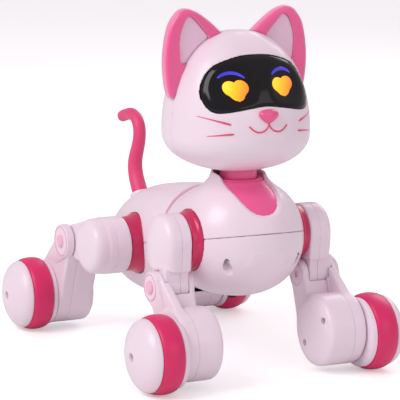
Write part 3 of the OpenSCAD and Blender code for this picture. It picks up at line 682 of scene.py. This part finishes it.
def lower_shell(x, y, z):
    wall, skin, station, height = body_shell(x, y, z)
    plate = outline_distance(x, height, CHEST_PLATE)
    raised = 0.35 * smooth_step(0.7, -0.7, plate) * (station < -8)
    wall = wall - raised * (skin > -1.2)
    wall = soft_max(wall, height + SEAM_HEIGHT, 0.25)
    for hole_x in (-25.4, 25.4):
        # an upright screw hole, with a boss behind it
        rear, rise, aside = station + 29, height + 21.1, x - hole_x
        depth = -0.139 * rear - 0.990 * rise
        radius = np.sqrt(aside * aside + (rear + 0.139 * depth) ** 2
                         + (rise + 0.990 * depth) ** 2)
        boss = soft_max(np.maximum(radius - 5.4, -15 - depth), skin + 1.2, 0.3)
        wall = np.minimum(wall, boss)
        wall = soft_max(wall, -np.maximum(radius - 3.0, -9.0 - depth), 0.6)
    # a large rectangular opening in the belly and a small one ahead of it:
    # half width, middle station, half length, top
    for half_width, middle, half_length, top in ((23.2, 62, 33.2, -23), (4.5, 18, 8.5, -30)):
        opening = np.maximum(np.abs(x) - half_width, np.abs(station - middle) - half_length)
        wall = np.maximum(wall, -np.maximum(opening, height - top))
    return wall


def bib_field(x, y, z):
    """A sheet set just under the skin, round the neck's bearing."""
    skin, _, station, height = body_skin(x, y, z)
    sheet = np.abs(skin + 3.3) - 1.1
    sheet = soft_max(sheet, outline_distance(x, height, BIB) - 1.6, 0.4)
    sheet = soft_max(sheet, station + 3, 0.4)
    sheet = soft_max(sheet, 17.3 - radius_from(x, y, NECK), 0.3)
    return soft_max(sheet, z - 131.5, 0.4)


def waist_band_field(x, y, z):
    station, height = to_body(y, z)
    radius = waist_radius(x, height)
    band = soft_max(np.abs(station - WAIST_STATION) - 1.7, radius - 37.0, 0.4)
    return soft_max(band, 36.25 - radius, 0.4)


def build_body():
    piece = field_piece("body_upper", upper_shell, (-45.6, -114, 58), (45.6, 98.5, 139.2),
                        BODY_STEP)
    dress(piece, PALE, "torso", "pale_plastic", "body_upper_shell")
    piece = field_piece("body_lower", lower_shell, (-45.6, -114, 30), (45.6, 98.5, 104),
                        BODY_STEP)
    dress(piece, PALE, "torso", "pale_plastic", "body_lower_shell")
    piece = field_piece("bib_plate", bib_field, (-19, -114, 95), (19, -70, 134), step=0.6)
    dress(piece, HOT_PINK, "torso", "pink_plastic", "chest_bib")
    piece = field_piece("waist_band", waist_band_field, (-39, -40, 40), (39, -12, 125), step=0.6)
    dress(piece, HOT_PINK, "torso", "pink_plastic", "waist_ring")


# ------------------------------------------------------------------ head
HEAD_CENTRE = (-63.8, 164.2)    # the head's shells part at this Y


def head_skin(x, y, z):
    half_width, front_depth, back_depth, rise, drop = 49.3, 46.3, 50.4, 67.8, 26.9
    rear, height = y - HEAD_CENTRE[0], z - HEAD_CENTRE[1]
    front, upper = rear < 0, height > 0
    across = np.abs(x) / half_width + TINY
    deep = np.abs(rear) / np.where(front, front_depth, back_depth) + TINY
    tall = np.abs(height) / np.where(upper, rise, drop) + TINY
    section = power_sum(across, deep, 2.22)
    depth_share = deep ** 2 / (across ** 2 + deep ** 2)
    whole = power_sum(section, tall, 2.23 - np.where(front & upper, 0.48, 0) * depth_share)
    reach = np.sqrt(x * x + rear * rear + height * height)
    # the ray leans on the surface, so the length is eased towards the true distance
    return (reach * (1 - 1 / whole) * 0.93).astype(F4)


# Left half of the visor's outline from the top down, as (x, z)
VISOR_HALF = [(0, 217.4), (10, 217), (20, 214.6), (28.6, 211), (34.2, 205.5), (37.8, 199),
              (39.4, 192.5), (38.4, 186.5), (35.8, 182.4), (31.9, 181), (27, 181.3),
              (20, 182.4), (11.5, 183.8), (4, 184.8), (0, 185)]
VISOR = smooth_outline(VISOR_HALF + [(-x, z) for x, z in VISOR_HALF[-2:0:-1]], 3)
# Outer outline of the left ear and the edge of its pocket, as (x, z)
EAR_OUTER = smooth_outline([
    (10, 229), (13.6, 232.2), (20.5, 238.2), (28.4, 243.9), (34.0, 246.4), (38, 247.1),
    (41.8, 246.2), (45.5, 242.9), (49.5, 237), (51.8, 229.2), (53.2, 220), (53.7, 211.7),
    (53.3, 202.9), (52.2, 195.3), (50.8, 190.2), (49.0, 187.6), (46.8, 187.6), (44, 190),
    (40, 200), (20, 222)], 3)
EAR_POCKET = smooth_outline([
    (21.9, 227.7), (23.9, 230.8), (28.5, 236.0), (32.6, 240.3), (36.0, 242.0), (39.3, 239.4),
    (42.2, 233.0), (43.5, 227.1), (43.5, 219.4), (42.0, 210.4), (34, 213), (26, 221)], 3)


def head_shell(x, y, z):
    skin = head_skin(x, y, z)
    return soft_max(skin, -(skin + WALL), 0.3)


def cut_neck_hole(shell, x, y, z, radius):
    return soft_max(shell, -np.maximum(radius_from(x, y, NECK) - radius, z - 150), 0.3)


def head_front(x, y, z):
    shell = soft_max(head_shell(x, y, z), y - HEAD_CENTRE[0] + 0.03, 0.05)
    window = outline_distance(x, z, VISOR) - 0.25
    shell = soft_max(shell, -np.maximum(window, y + 66), 0.6)
    return cut_neck_hole(shell, x, y, z, 13.5)


def head_rear(x, y, z):
    shell = soft_max(head_shell(x, y, z), HEAD_CENTRE[0] + 0.03 - y, 0.05)
    shell = cut_neck_hole(shell, x, y, z, 13.1)
    # four round holes in the back
    for hole_x in (-26, 26):
        for hole_z in (158, 206):
            hole = radius_from(x, z, (hole_x, hole_z)) - 2.5
            shell = soft_max(shell, -np.maximum(hole, -y - 40), 0.4)
    return shell


def ear_frame(x, y, z):
    """Both ears, with bevelled front edges and a pocket in the front."""
    front_y = 65.6
    outer = outline_distance(np.abs(x), z, EAR_OUTER)
    pocket = outline_distance(np.abs(x), z, EAR_POCKET)
    bevel = (outer + 1.7 - (y + front_y)) * 0.707
    back = y + 54.2 + 0.35 * np.clip(outer + 7, -6, 7)
    ear = soft_max(soft_max(outer, -front_y - y, 1.3), back, 2.0)
    ear = soft_max(ear, bevel, 0.8)
    ear = soft_max(ear, -soft_max(pocket, y + 59.4, 0.4), 0.9)
    return soft_max(ear, 0.15 - head_skin(x, y, z), 0.3)


def ear_fill(x, y, z):
    """The flat fillings in the ears' pockets, in a darker copy of the pale plastic as painted
    shade of the recess.
    """
    pocket = outline_distance(np.abs(x), z, EAR_POCKET)
    fill = soft_max(pocket + 0.2, np.abs(y + 61.6) - 1.9, 0.5)
    return soft_max(fill, 0.2 - head_skin(x, y, z), 0.2)


def build_head_shells():
    piece = field_piece("head_front", head_front, (-50.6, -111.2, 136), (50.6, -62.5, 233),
                        HEAD_STEP)
    dress(piece, PALE, "head", "pale_plastic", "head_front_shell")
    piece = field_piece("ears", ear_frame, (-56.5, -68, 184), (56.5, -50, 249.5), step=0.6)
    dress(piece, EAR_PINK_HIGHLIT, "head", "pink_plastic", "ear_frames")
    piece = field_piece("head_rear", head_rear, (-50.6, -65.5, 136), (50.6, -12, 233), HEAD_STEP)
    dress(piece, PALE, "head", "pale_plastic", "head_rear_shell")
    # painted shade: the pocket fillings take the darker copy of the pale plastic
    piece = field_piece("ear_insets_fill", ear_fill, (-46, -65.5, 206), (46, -57, 244), step=0.5)
    dress(piece, PALE_POCKET_SHADE, "head", "pale_plastic")


# ------------------------------------------------------------------ face
def eye_dip(x, z):
    """How deep the visor dips round each eye."""
    aside = np.abs(x)
    radius = np.hypot((aside - 19.0) / 15.5, (z - 197.5) / 13.5)
    return 3.0 * smooth_step(1.15, 0.3, radius) * smooth_step(1.0, 11.0, aside)


def visor_top(x, y, z):
    """The visor's front surface."""
    edge = outline_distance(x, z, VISOR)
    return head_skin(x, y, z) + 0.25 + eye_dip(x, z) - 0.5 * smooth_step(0, 3, -edge)


def visor_field(x, y, z):
    back = -(head_skin(x, y, z) + 3.6 + eye_dip(x, z))
    visor = soft_max(visor_top(x, y, z) * 0.9, back, 0.4)
    visor = soft_max(visor, outline_distance(x, z, VISOR) + 0.15, 0.9)
    return soft_max(visor, y + 68, 0.3)


def heart_outline(x, z, centre, width, height, tilt):
    """Signed distance to a plump heart, drawn 16 wide and 14 high and then scaled."""
    drawn_width, drawn_height = 16.0, 14.0
    off_x, off_z = x - centre[0], z - centre[1]
    cosine, sine = math.cos(tilt), math.sin(tilt)
    aside = np.abs(off_x * cosine + off_z * sine) * drawn_width / width
    rise = (-off_x * sine + off_z * cosine) * drawn_height / height
    lobe = np.hypot(aside - 3.3, rise - 1.9) - 4.7
    low = np.hypot(aside, rise + 1.5) - 4.8
    tip = np.maximum(aside * 0.80 - (rise + 6.5) * 0.60, rise - 1.0)
    heart = soft_min(soft_min(lobe, low, 1.6), tip, 0.9)
    return heart * min(width / drawn_width, height / drawn_height)


def heart_field(centre, width, height, tilt):
    def field(x, y, z):
        outline = heart_outline(x, z, centre, width, height, tilt)
        top = visor_top(x, y, z)
        dome = 0.9 + 1.1 * smooth_step(0, 5, -outline)
        return soft_max(soft_max(outline, top - dome, 0.7), -(top + 0.6), 0.2)
    return field


def brow_field(centre):
    """An arc above the eye that thins toward its ends."""
    def field(x, y, z):
        off_x, off_z = x - centre[0], z - centre[1]
        angle = np.arctan2(off_x, off_z + TINY)
        half_width = 1.1 * np.sqrt(np.clip(1 - (angle / 0.76) ** 2, 0.0, 1)) + 0.02
        arc = np.abs(np.hypot(off_x, off_z) - 12.7) - half_width
        top = visor_top(x, y, z)
        brow = soft_max(soft_max(arc, top - 0.8, 0.4), -(top + 0.5), 0.2)
        return soft_max(brow, (np.abs(angle) - 0.74) * 12, 0.2)
    return field


def nose_field(x, y, z):
    def ellipsoid(centre, radii):
        ratio = np.sqrt(((x - centre[0]) / radii[0]) ** 2 + ((y - centre[1]) / radii[1]) ** 2
                        + ((z - centre[2]) / radii[2]) ** 2)
        return (ratio - 1) * min(radii)

    nose = soft_min(ellipsoid((-3.4, -109.0, 180.0), (3.6, 3.0, 2.9)),
                    ellipsoid((3.4, -109.0, 180.0), (3.6, 3.0, 2.9)), 3.0)
    nose = soft_min(nose, ellipsoid((0, -109.0, 176.9), (3.4, 2.7, 2.9)), 4.0)
    nose = soft_min(nose, ellipsoid((0, -109.0, 180.6), (3.4, 3.0, 2.4)), 2.0)
    return soft_max(nose, -(head_skin(x, y, z) + 0.9), 0.3)


def face_y(x, z):
    """Y of the face at (x, z), by bisection."""
    outside, within = -130.0, -64.0
    for _ in range(40):
        middle = (outside + within) / 2
        if head_skin(np.array([x]), np.array([middle]), np.array([z]))[0] > 0:
            outside = middle
        else:
            within = middle
    return (outside + within) / 2


# Lines on the left of the face from the middle outward, as (x, z)
MOUTH = smooth_outline([(0.0, 174.2), (0.5, 172.2), (2.4, 169.9), (5.4, 168.5), (8.4, 168.5),
                        (11.2, 169.8), (13.8, 172.2)], 6, closed=False)
CHEEK_LINES = [
    smooth_outline([(25.5, 173.8), (31, 175.4), (36.5, 176.9), (42.5, 178.6)], 8, closed=False),
    smooth_outline([(24, 167.6), (31, 166.9), (38.5, 165.8)], 10, closed=False)]


def face_lines():
    """Round lines on the skin: the mouth is even, the cheek lines taper outward."""
    mouth_radius, thick, thin = 0.6, 0.85, 0.22
    parts = []
    for side in (-1, 1):
        for line in [MOUTH] + CHEEK_LINES:
            share = np.linspace(0, 1, len(line))
            if line is MOUTH:
                radii = np.full(len(line), mouth_radius)
            else:
                radii = (thick + (thin - thick) * share) * np.minimum(1, 0.45 + 4 * share)
            parts.append(tube([(side * x, face_y(x, z), z) for x, z in line], radii, 12))
    return parts


def build_face():
    piece = field_piece("visor", visor_field, (-42.5, -112.5, 178.5), (42.5, -66, 220), step=0.6)
    dress(piece, BLACK, "head", "visor_black", "face_visor")
    # name, centre (X, Z), width, height, tilt in degrees, replaced CAD
    for name, (x, z), width, height, tilt, replaced in (
            ("eye_heart_r", (-18.4, 195.0), 16.6, 14.0, 5, ["eye_lights"]),
            ("eye_heart_l", (16.2, 196.6), 18.4, 13.2, 2, [])):
        field = heart_field((x, z), width, height, math.radians(tilt))
        piece = field_piece(name, field, (x - 11, -110, z - 11), (x + 11, -86, z + 11), step=0.4)
        light = glow("glow_" + name, low_rgb=(0.97, 0.45, 0.05), high_rgb=(1.0, 0.78, 0.17),
                     centre=(x, -98, z), axis=(-1, 0, 0.4), span=7, strength=0.66)
        dress(piece, light, "head", "eye_glow", *replaced)
    # name, centre of the arc (X, Z), X of the glow's middle
    for name, (x, z), glow_x in (("eye_brow_r", (-20.4, 193.8), -18),
                                 ("eye_brow_l", (16.2, 195.4), 18)):
        piece = field_piece(name, brow_field((x, z)), (x - 13.5, -110, 197),
                            (x + 13.5, -84, 212), step=0.35)
        light = glow("glow_" + name, low_rgb=(0.20, 0.18, 0.70), high_rgb=(0.27, 0.25, 0.82),
                     centre=(glow_x, -98, 207), axis=(1, 0, 0), span=10, strength=0.5)
        dress(piece, light, "head", "eye_glow")
    piece = field_piece("nose_tip", nose_field, (-10, -115, 170), (10, -104, 187), step=0.35)
    dress(piece, NOSE, "head", "nose_gloss", "nose")
    dress(joined_piece("face_lines", face_lines()), TRIM, "head", "trim_pink", "face_trim")


# ------------------------------------------------------------------ neck and tail
# Profiles as (z, radius)
NECK_PROFILE = [(112.6, 0), (112.6, 8.9), (131.7, 8.9), (131.7, 12.7), (143.8, 12.7), (143.8, 0)]
BEARING_PROFILE = [(112, 9.1), (112, 16.8), (132.4, 16.8), (132.4, 13.4), (130.9, 13.2),
                   (130.9, 9.1)]
# Centre line of the tail from its root, as (y, z)
TAIL_LINE = smooth_outline([
    TAIL_ROOT, (90, 103.6), (93.4, 109.2), (95.3, 115), (95.3, 120.6), (93.6, 125.8),
    (91.2, 131), (88.9, 136.8), (88, 142.6), (89.3, 148.6), (94, 153.4), (101.5, 155.4),
    (109.4, 154.2), (116.6, 152.2)], 6, closed=False)


def build_neck():
    piece = turned_piece("neck", NECK, rounded(NECK_PROFILE, 0.5), 128, axis="Z")
    dress(piece, HOT_PINK, "head", "pink_plastic", "neck_tube")
    piece = turned_piece("neck_cup", NECK, rounded_loop(BEARING_PROFILE, 0.5), 128, axis="Z")
    dress(piece, HOT_PINK, "torso", "pink_plastic", "neck_bearing")


def build_tail():
    radii = np.interp(np.linspace(0, 1, len(TAIL_LINE)), [0, 0.3, 0.55, 1],
                      [5.85, 5.35, 4.75, 4.3])
    curl = tube([(0, y, z) for y, z in TAIL_LINE], radii, 40)
    axis = np.array([0, math.sin(TAIL_LEAN), math.cos(TAIL_LEAN)])
    peg_points = [np.array([0, *TAIL_ROOT]) + axis * along for along in (-10.0, -8, -4, -1)]
    peg = tube(peg_points, [3.9] * 4, 32)
    dress(joined_piece("tail_curl", [curl, peg]), TAIL_RUBBER, "tail", "tail_rubber", "tail")


# ------------------------------------------------------------------ legs
# All legs are shaped on the left side (+X) and mirrored for the right.
KNEE_FROM, KNEE_TO = 46.4, 63.6     # X range of the thigh's knee barrel
SHIN_SEAM = 59.0
SEAM_GAP = 0.03                     # each half stops this far from its seam


def front_thigh(x, y, z):
    hip_y, hip_z = FRONT.hip
    knee_y, knee_z = FRONT.knee
    disc = radius_from(y, z, FRONT.hip) - 19
    skirt = outline_distance(y, z, [(hip_y - 18.9, hip_z), (knee_y - 12.6, knee_z + 11),
                                    (knee_y + 12.6, knee_z + 11), (hip_y + 18.9, hip_z)])
    radius = np.hypot(y - hip_y, np.maximum(z - hip_z, 0))
    crown = 66.8 - 6.4 * (np.clip(radius, 0, 22) / 19) ** 2
    crown = crown - 1.0 * smooth_step(hip_z - 4, knee_z + 11, z)
    plate = soft_max(np.minimum(disc, skirt), (x - crown) * 0.9, 3.2)
    plate = soft_max(plate, 45.2 - x, 2.0)
    barrel = bar_along_x(x, y, z, FRONT.knee, KNEE_RADIUS, KNEE_FROM, KNEE_TO, 0.7)
    stem = soft_max(np.abs(y - knee_y) - 10.4, np.abs(z - knee_z - 6.7) - 6.7, 0.3)
    stem = soft_max(stem, np.maximum(46.6 - x, x - 63.4), 0.4)
    return np.minimum(np.minimum(plate, barrel), stem)


def rear_thigh(x, y, z):
    outline = tapered_outline(y, z, REAR.hip, 20, REAR.knee, KNEE_RADIUS)
    bar = soft_max(soft_max(outline, x - 63.6, 1.0), 47.6 - x, 1.2)
    radius = radius_from(y, z, REAR.hip)
    crown = 76.1 - 1.2 * (np.clip(radius, 0, 20) / 20) ** 2
    boss = soft_max(soft_max(radius - 19.7, x - crown, 7.5), 50 - x, 0.5)
    barrel = bar_along_x(x, y, z, REAR.knee, KNEE_RADIUS, KNEE_FROM, KNEE_TO, 0.7)
    return np.minimum(soft_min(bar, boss, 1.4), barrel)


def thigh_field(leg, half):
    """One half of a thigh; the inner half carries the hip's shaft."""
    solid = front_thigh if leg is FRONT else rear_thigh

    def field(x, y, z):
        shape = np.maximum(solid(x, y, z), 2.62 - radius_from(y, z, leg.knee))
        if half == "inner":
            shaft = bar_along_x(x, y, z, leg.hip, 7.95, 27, 49, 0.4)
            shape = soft_max(shape, x - (leg.thigh_seam - SEAM_GAP), 0.1)
            shape = np.minimum(shape, shaft)
        else:
            shape = soft_max(shape, leg.thigh_seam + SEAM_GAP - x, 0.1)
        hollow = np.maximum(radius_from(y, z, leg.hip) - leg.hip_hollow,
                            np.maximum(49.8 - x, x - leg.hip_hollow_to))
        return soft_max(shape, -hollow, 0.3)
    return field


def shin_drum(leg, x, y, z, inner_ease):
    """The drum round the wheel motor, rounded most at its inner end."""
    drum = radius_from(y, z, leg.drum) - leg.drum_radius
    return soft_max(soft_max(drum, 38.6 - x, inner_ease), x - 68.3, 1.6)


def shin_web(outline, x, start, end, outer_ease):
    return soft_max(soft_max(outline, (start - x) * 0.95, 2.4), (x - end) * 0.95, outer_ease)


def front_shin(x, y, z):
    knee_y, knee_z = FRONT.knee
    drum_y, drum_z = FRONT.drum
    # a straight neck that runs down from the knee into the drum
    neck = outline_distance(y, z, [
        (knee_y + 9.9, knee_z - 1), (knee_y - 9.9, knee_z + 1), (knee_y - 12.4, knee_z - 6),
        (knee_y - 14.6, knee_z - 13), (drum_y - 10, drum_z + 10), (drum_y, drum_z - 8),
        (drum_y + 22.2, drum_z - 8)])
    outline = soft_min(np.minimum(radius_from(y, z, FRONT.knee) - 10.2, neck),
                       radius_from(y, z, FRONT.drum) - (FRONT.drum_radius - 0.4), 4.0)
    web = shin_web(outline, x, 41.7, 65.4, 2.0)
    shin = soft_min(web, shin_drum(FRONT, x, y, z, 8.0), 2.6)
    # the outer casing runs straight from the knee to the drum
    casing = tapered_outline(y, z, FRONT.knee, 10.4, (-104.0, 30.0), 21.0)
    casing = soft_max(soft_max(casing, 60.5 - x, 1.5), x - 66.8, 1.8)
    return soft_min(shin, casing, 1.5)


def rear_shin(x, y, z):
    outline = tapered_outline(y, z, REAR.knee, 10.4, REAR.axle, 22.3)
    web = shin_web(outline, x, 41.8, 68.0, 2.4)
    return soft_min(web, shin_drum(REAR, x, y, z, 6.5), 2.0)


def shin_solid(leg, x, y, z):
    """The shin with its outer ear, its inner disc and a gap for the thigh's barrel."""
    knee_y, knee_z = leg.knee
    run_y, run_z = leg.axle[0] - knee_y, leg.axle[1] - knee_z
    length = math.hypot(run_y, run_z)
    knee_radius = radius_from(y, z, leg.knee)
    shin = front_shin(x, y, z) if leg is FRONT else rear_shin(x, y, z)
    # the ear tapers to a point down the shin
    tip = (knee_y + run_y / length * leg.ear_length, knee_z + run_z / length * leg.ear_length)
    ear = tapered_outline(y, z, leg.knee, leg.ear_radius, tip, 0.7)
    down = ((y - knee_y) * run_y + (z - knee_z) * run_z) / length
    ear = soft_max(ear, x - (70.0 - leg.ear_drop * smooth_step(6, 28, down)), 0.8)
    shin = np.minimum(shin, soft_max(ear, leg.ear_from - x, 0.3))
    disc = soft_max(soft_max(knee_radius - 10.2, 41.7 - x, 0.8), x - 50, 0.5)
    shin = soft_min(shin, disc, 0.8)
    gap = soft_max(soft_max(knee_radius - 11.9, x - 64.05, 0.3), 46.0 - x, 0.3)
    return soft_max(shin, -gap, 0.5)


def shin_holes(leg):
    """Places of the two screw holes in the inner half."""
    if leg is FRONT:
        return [(-117.2, 38.8), (-93.2, 18.9)]
    axle_y, axle_z = leg.axle
    heading = math.atan2(axle_z - leg.knee[1], axle_y - leg.knee[0])
    return [(axle_y + radius * math.cos(angle), axle_z + radius * math.sin(angle))
            for angle, radius in ((heading - math.radians(62), 17.6), (heading + math.pi, 20.5))]


def shin_field(leg, half):
    def field(x, y, z):
        knee_radius = radius_from(y, z, leg.knee)
        axle_radius = radius_from(y, z, leg.axle)
        shape = np.maximum(shin_solid(leg, x, y, z), 2.55 - knee_radius)
        # the axle's hole opens the outer side only
        shape = np.maximum(shape, 3.1 - axle_radius + np.where(x < 50, -50, 0))
        shape = np.maximum(shape, -np.maximum(axle_radius - leg.motor_hollow,
                                              np.maximum(42.5 - x, x - 64)))
        if half == "outer":
            return soft_max(shape, SHIN_SEAM + SEAM_GAP - x, 0.1)
        shape = soft_max(shape, x - (SHIN_SEAM - SEAM_GAP), 0.1)
        # pressed ring on the inner disc, and the screw holes
        shape = soft_max(shape, 0.5 - np.hypot(knee_radius - 7.6, x - 41.6), 0.3)
        for hole in shin_holes(leg):
            shape = soft_max(shape, -np.maximum(radius_from(y, z, hole) - 2.3, x - 46.5), 0.3)
        return shape
    return field


def half_box(half, low, high, inner_to, outer_from):
    """The box of one half of a limb."""
    if half == "inner":
        return low, (inner_to, *high[1:])
    return (outer_from, *low[1:]), high


def build_thigh_half(leg, half, name):
    box = half_box(half, leg.thigh_low, leg.thigh_high, leg.inner_to, leg.outer_from)
    return field_piece(name, thigh_field(leg, half), *box, LEG_STEP)


def build_shin_half(leg, half, name):
    start_y, end_y = sorted((leg.axle[0] + 24 * leg.foot_direction,
                             leg.knee[0] - 13 * leg.foot_direction))
    box = half_box(half, (37.4, start_y, 2.5), (71.4, end_y, leg.knee[1] + 13), 60.3, 57.7)
    return field_piece(name, shin_field(leg, half), *box, LEG_STEP)


def mirrored_piece(name, source):
    mesh = source.copy()
    mesh.transform(Matrix.Scale(-1, 4, (1, 0, 0)))
    mesh.flip_normals()
    mesh.name = name
    return add_object(name, mesh)


# Turned profiles as (x, radius)
PIN_PROFILE = [(42.5, 0), (42.5, 2.5), (69.6, 2.5), (69.6, 4.6), (70.9, 4.6), (71.5, 3.4),
               (71.8, 0)]
HUB_PROFILE = [(54, 0), (54, 2.95), (69.1, 2.95), (69.1, 23.4), (72.45, 23.9), (72.45, 19.95),
               (87.4, 19.95), (87.4, 0)]
TYRE_PROFILE = ([(72.6, 20.05), (72.6, 23.4)]
                + [(80.5 + 7.75 * math.sin(a), 24.0 + 2.5 * math.cos(a))
                   for a in np.linspace(-1.4, 1.4, 17)]
                + [(88.4, 23.4), (88.4, 20.05)])
DOME_PROFILE = ([(87.6, 0), (87.6, 19.7), (88.5, 19.7), (88.55, 24.1), (89.0, 24.4)]
                + [(89.0 + 11.6 * math.sin(a), 24.4 * math.cos(a))
                   for a in np.linspace(0.08, 1.40, 16)]
                + [(100.5, 3.4), (100.3, 2.95), (99.6, 2.75), (96.5, 2.7), (96.5, 0)])
# a thin disc at the floor of the dome's centre hole, coloured as painted shade
SHADE_DISC_PROFILE = [(96.4, 0), (96.4, 2.6), (97.2, 2.6), (97.2, 0)]


def build_knee_pin(leg, name, side):
    """The pin with its cap, and the thin ring on the ear round it."""
    piece = turned_piece(name + "_pin", leg.knee, rounded(PIN_PROFILE, 0.3), 64, side)
    dress(piece, CAP, name + "_shin", "cap_pink", name + "_knee_pin")
    inner, outer = leg.ear_ring, leg.ear_ring + 0.8
    profile = rounded_loop([(69.5, inner), (70.3, inner), (70.3, outer), (69.5, outer)], 0.2)
    piece = turned_piece(name + "_ear_ring", leg.knee, profile, 96, side)
    dress(piece, RING, name + "_shin", "cap_pink")


def build_wheel(leg, name, side):
    # name ending, profile, segments, material, slot, endings of the replaced CAD
    for ending, profile, segments, material, slot, replaced in (
            ("_hub", rounded(HUB_PROFILE, 0.5), 96, PALE, "hub_plastic", ["_wheel_hub"]),
            ("_tyre", TYRE_PROFILE, 160, TYRE, "tyre_rubber", ["_tyre"]),
            ("_dome", DOME_PROFILE, 160, PALE, "hub_plastic", ["_hub_dome"]),
            # the disc in the dome's hole carries painted shade
            ("_dome_shade_disc", SHADE_DISC_PROFILE, 48, HOLE, "hub_plastic", [])):
        piece = turned_piece(name + ending, leg.axle, profile, segments, side)
        dress(piece, material, name + "_wheel", slot, *(name + part for part in replaced))


def build_legs():
    for leg in (FRONT, REAR):
        left_meshes = {}
        for side_letter, side in (("l", 1), ("r", -1)):
            name = leg.letter + side_letter
            for half in ("inner", "outer"):
                for limb, build in (("_thigh", build_thigh_half), ("_shin", build_shin_half)):
                    piece_name = name + limb + "_" + half
                    if side == 1:
                        piece = build(leg, half, piece_name)
                        left_meshes[limb, half] = piece.data
                    else:
                        piece = mirrored_piece(piece_name, left_meshes[limb, half])
                    dress(piece, PALE, name + limb, "pale_plastic", piece_name + "_shell")
            build_knee_pin(leg, name, side)
            build_wheel(leg, name, side)


def build_hip_collars():
    parts = [turned(leg.hip, rounded_loop(leg.collar, 0.7), 128, side)
             for leg in (FRONT, REAR) for side in (1, -1)]
    dress(joined_piece("hip_rings", parts), ROSE, "torso", "rose_plastic", "hip_collars")


# ------------------------------------------------------------------ CAD pieces that stay
KEPT = {"gear_motors": METAL, "main_board": GREEN, "battery_pack": WRAP, "battery_door": PALE,
        "speaker": DARK, "torso_screws": STEEL, "tail_socket": PALE, "power_switch": DARK,
        "eye_led_board": GREEN, "fl_wheel_motor": METAL, "fr_wheel_motor": METAL,
        "rl_wheel_motor": METAL, "rr_wheel_motor": METAL}


def paint_kept_pieces():
    for name, material in KEPT.items():
        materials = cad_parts[name].data.materials
        materials.clear()
        materials.append(material)


# ------------------------------------------------------------------ stage, in metres
def build_floor():
    """A floor that looks brighter to the camera than the light it gives."""
    bpy.ops.mesh.primitive_plane_add(size=12, location=(0, 0, -0.0002))
    floor = bpy.context.object
    floor.name = "floor"
    material, tree, shader = new_material("floor")
    shader.inputs["Base Color"].default_value = (0.89, 0.92, 0.905, 1)
    shader.inputs["Roughness"].default_value = 0.6
    shader.inputs["Emission Color"].default_value = (1.0, 0.97, 0.985, 1)
    path = add_node(tree, "LightPath")
    emission = tree.nodes.new("ShaderNodeMath")
    emission.operation = "MULTIPLY"
    emission.inputs[1].default_value = 0.40
    tree.links.new(path.outputs["Is Camera Ray"], emission.inputs[0])
    tree.links.new(emission.outputs[0], shader.inputs["Emission Strength"])
    floor.data.materials.append(material)


def build_world():
    """Soft pink light, with a white backdrop for the camera."""
    world = bpy.data.worlds.new("studio")
    bpy.context.scene.world = world
    world.use_nodes = True
    tree = world.node_tree
    ambient = tree.nodes["Background"]
    ambient.inputs["Color"].default_value = (1.0, 0.91, 0.96, 1)
    ambient.inputs["Strength"].default_value = 0.56
    backdrop = add_node(tree, "Background", Color=(1.0, 1.0, 1.0, 1), Strength=1.0)
    path = add_node(tree, "LightPath")
    mix = add_node(tree, "MixShader")
    tree.links.new(path.outputs["Is Camera Ray"], mix.inputs[0])
    tree.links.new(ambient.outputs[0], mix.inputs[1])
    tree.links.new(backdrop.outputs[0], mix.inputs[2])
    tree.links.new(mix.outputs[0], tree.nodes["World Output"].inputs["Surface"])


def add_area_light(name, place, target, size, power, color=(1, 1, 1)):
    light = bpy.data.lights.new(name, "AREA")
    light.shape = "RECTANGLE"
    light.size, light.size_y = size
    light.energy = power
    light.color = color
    lamp = add_object(name, light)
    lamp.location = place
    aim = Vector(target) - Vector(place)
    lamp.rotation_euler = aim.to_track_quat("-Z", "Y").to_euler()


def build_lights():
    add_area_light("key", place=(-1.5, -0.3, 1.4), target=(0, 0, 0.1), size=(1.1, 1.1),
                   power=17.5)
    add_area_light("fill", place=(0.6, -1.9, 0.9), target=(0, 0, 0.1), size=(1.2, 1.0),
                   power=3.6, color=(1.0, 0.91, 0.955))
    add_area_light("back", place=(1.4, 0.9, 1.3), target=(0, 0, 0.12), size=(1.0, 0.8), power=7)


def build_camera():
    """A long lens ahead of the pet, on its right, that looks slightly down."""
    azimuth, elevation, roll = (math.radians(a) for a in (-27.1615, 9.6227, 0.409))
    distance = 1.583
    target = Vector((17.428, 23.319 + ORIGIN_Y, 101.272)) * MM
    back = Vector((math.sin(azimuth) * math.cos(elevation),
                   -math.cos(azimuth) * math.cos(elevation), math.sin(elevation)))
    level = Vector((math.cos(azimuth), math.sin(azimuth), 0))
    upright = back.cross(level)
    right = level * math.cos(roll) + upright * math.sin(roll)
    above = -level * math.sin(roll) + upright * math.cos(roll)
    lens = bpy.data.cameras.new("photo")
    lens.sensor_width = 36
    lens.lens = 197.955
    camera = add_object("photo", lens)
    axes = zip(right, above, back, target + back * distance)
    camera.matrix_world = Matrix((*axes, (0, 0, 0, 1)))
    bpy.context.scene.camera = camera
    bpy.context.scene.view_settings.view_transform = "Standard"


build_body()
build_head_shells()
build_face()
build_neck()
build_tail()
build_legs()
build_hip_collars()
paint_kept_pieces()
build_floor()
build_world()
build_lights()
build_camera()
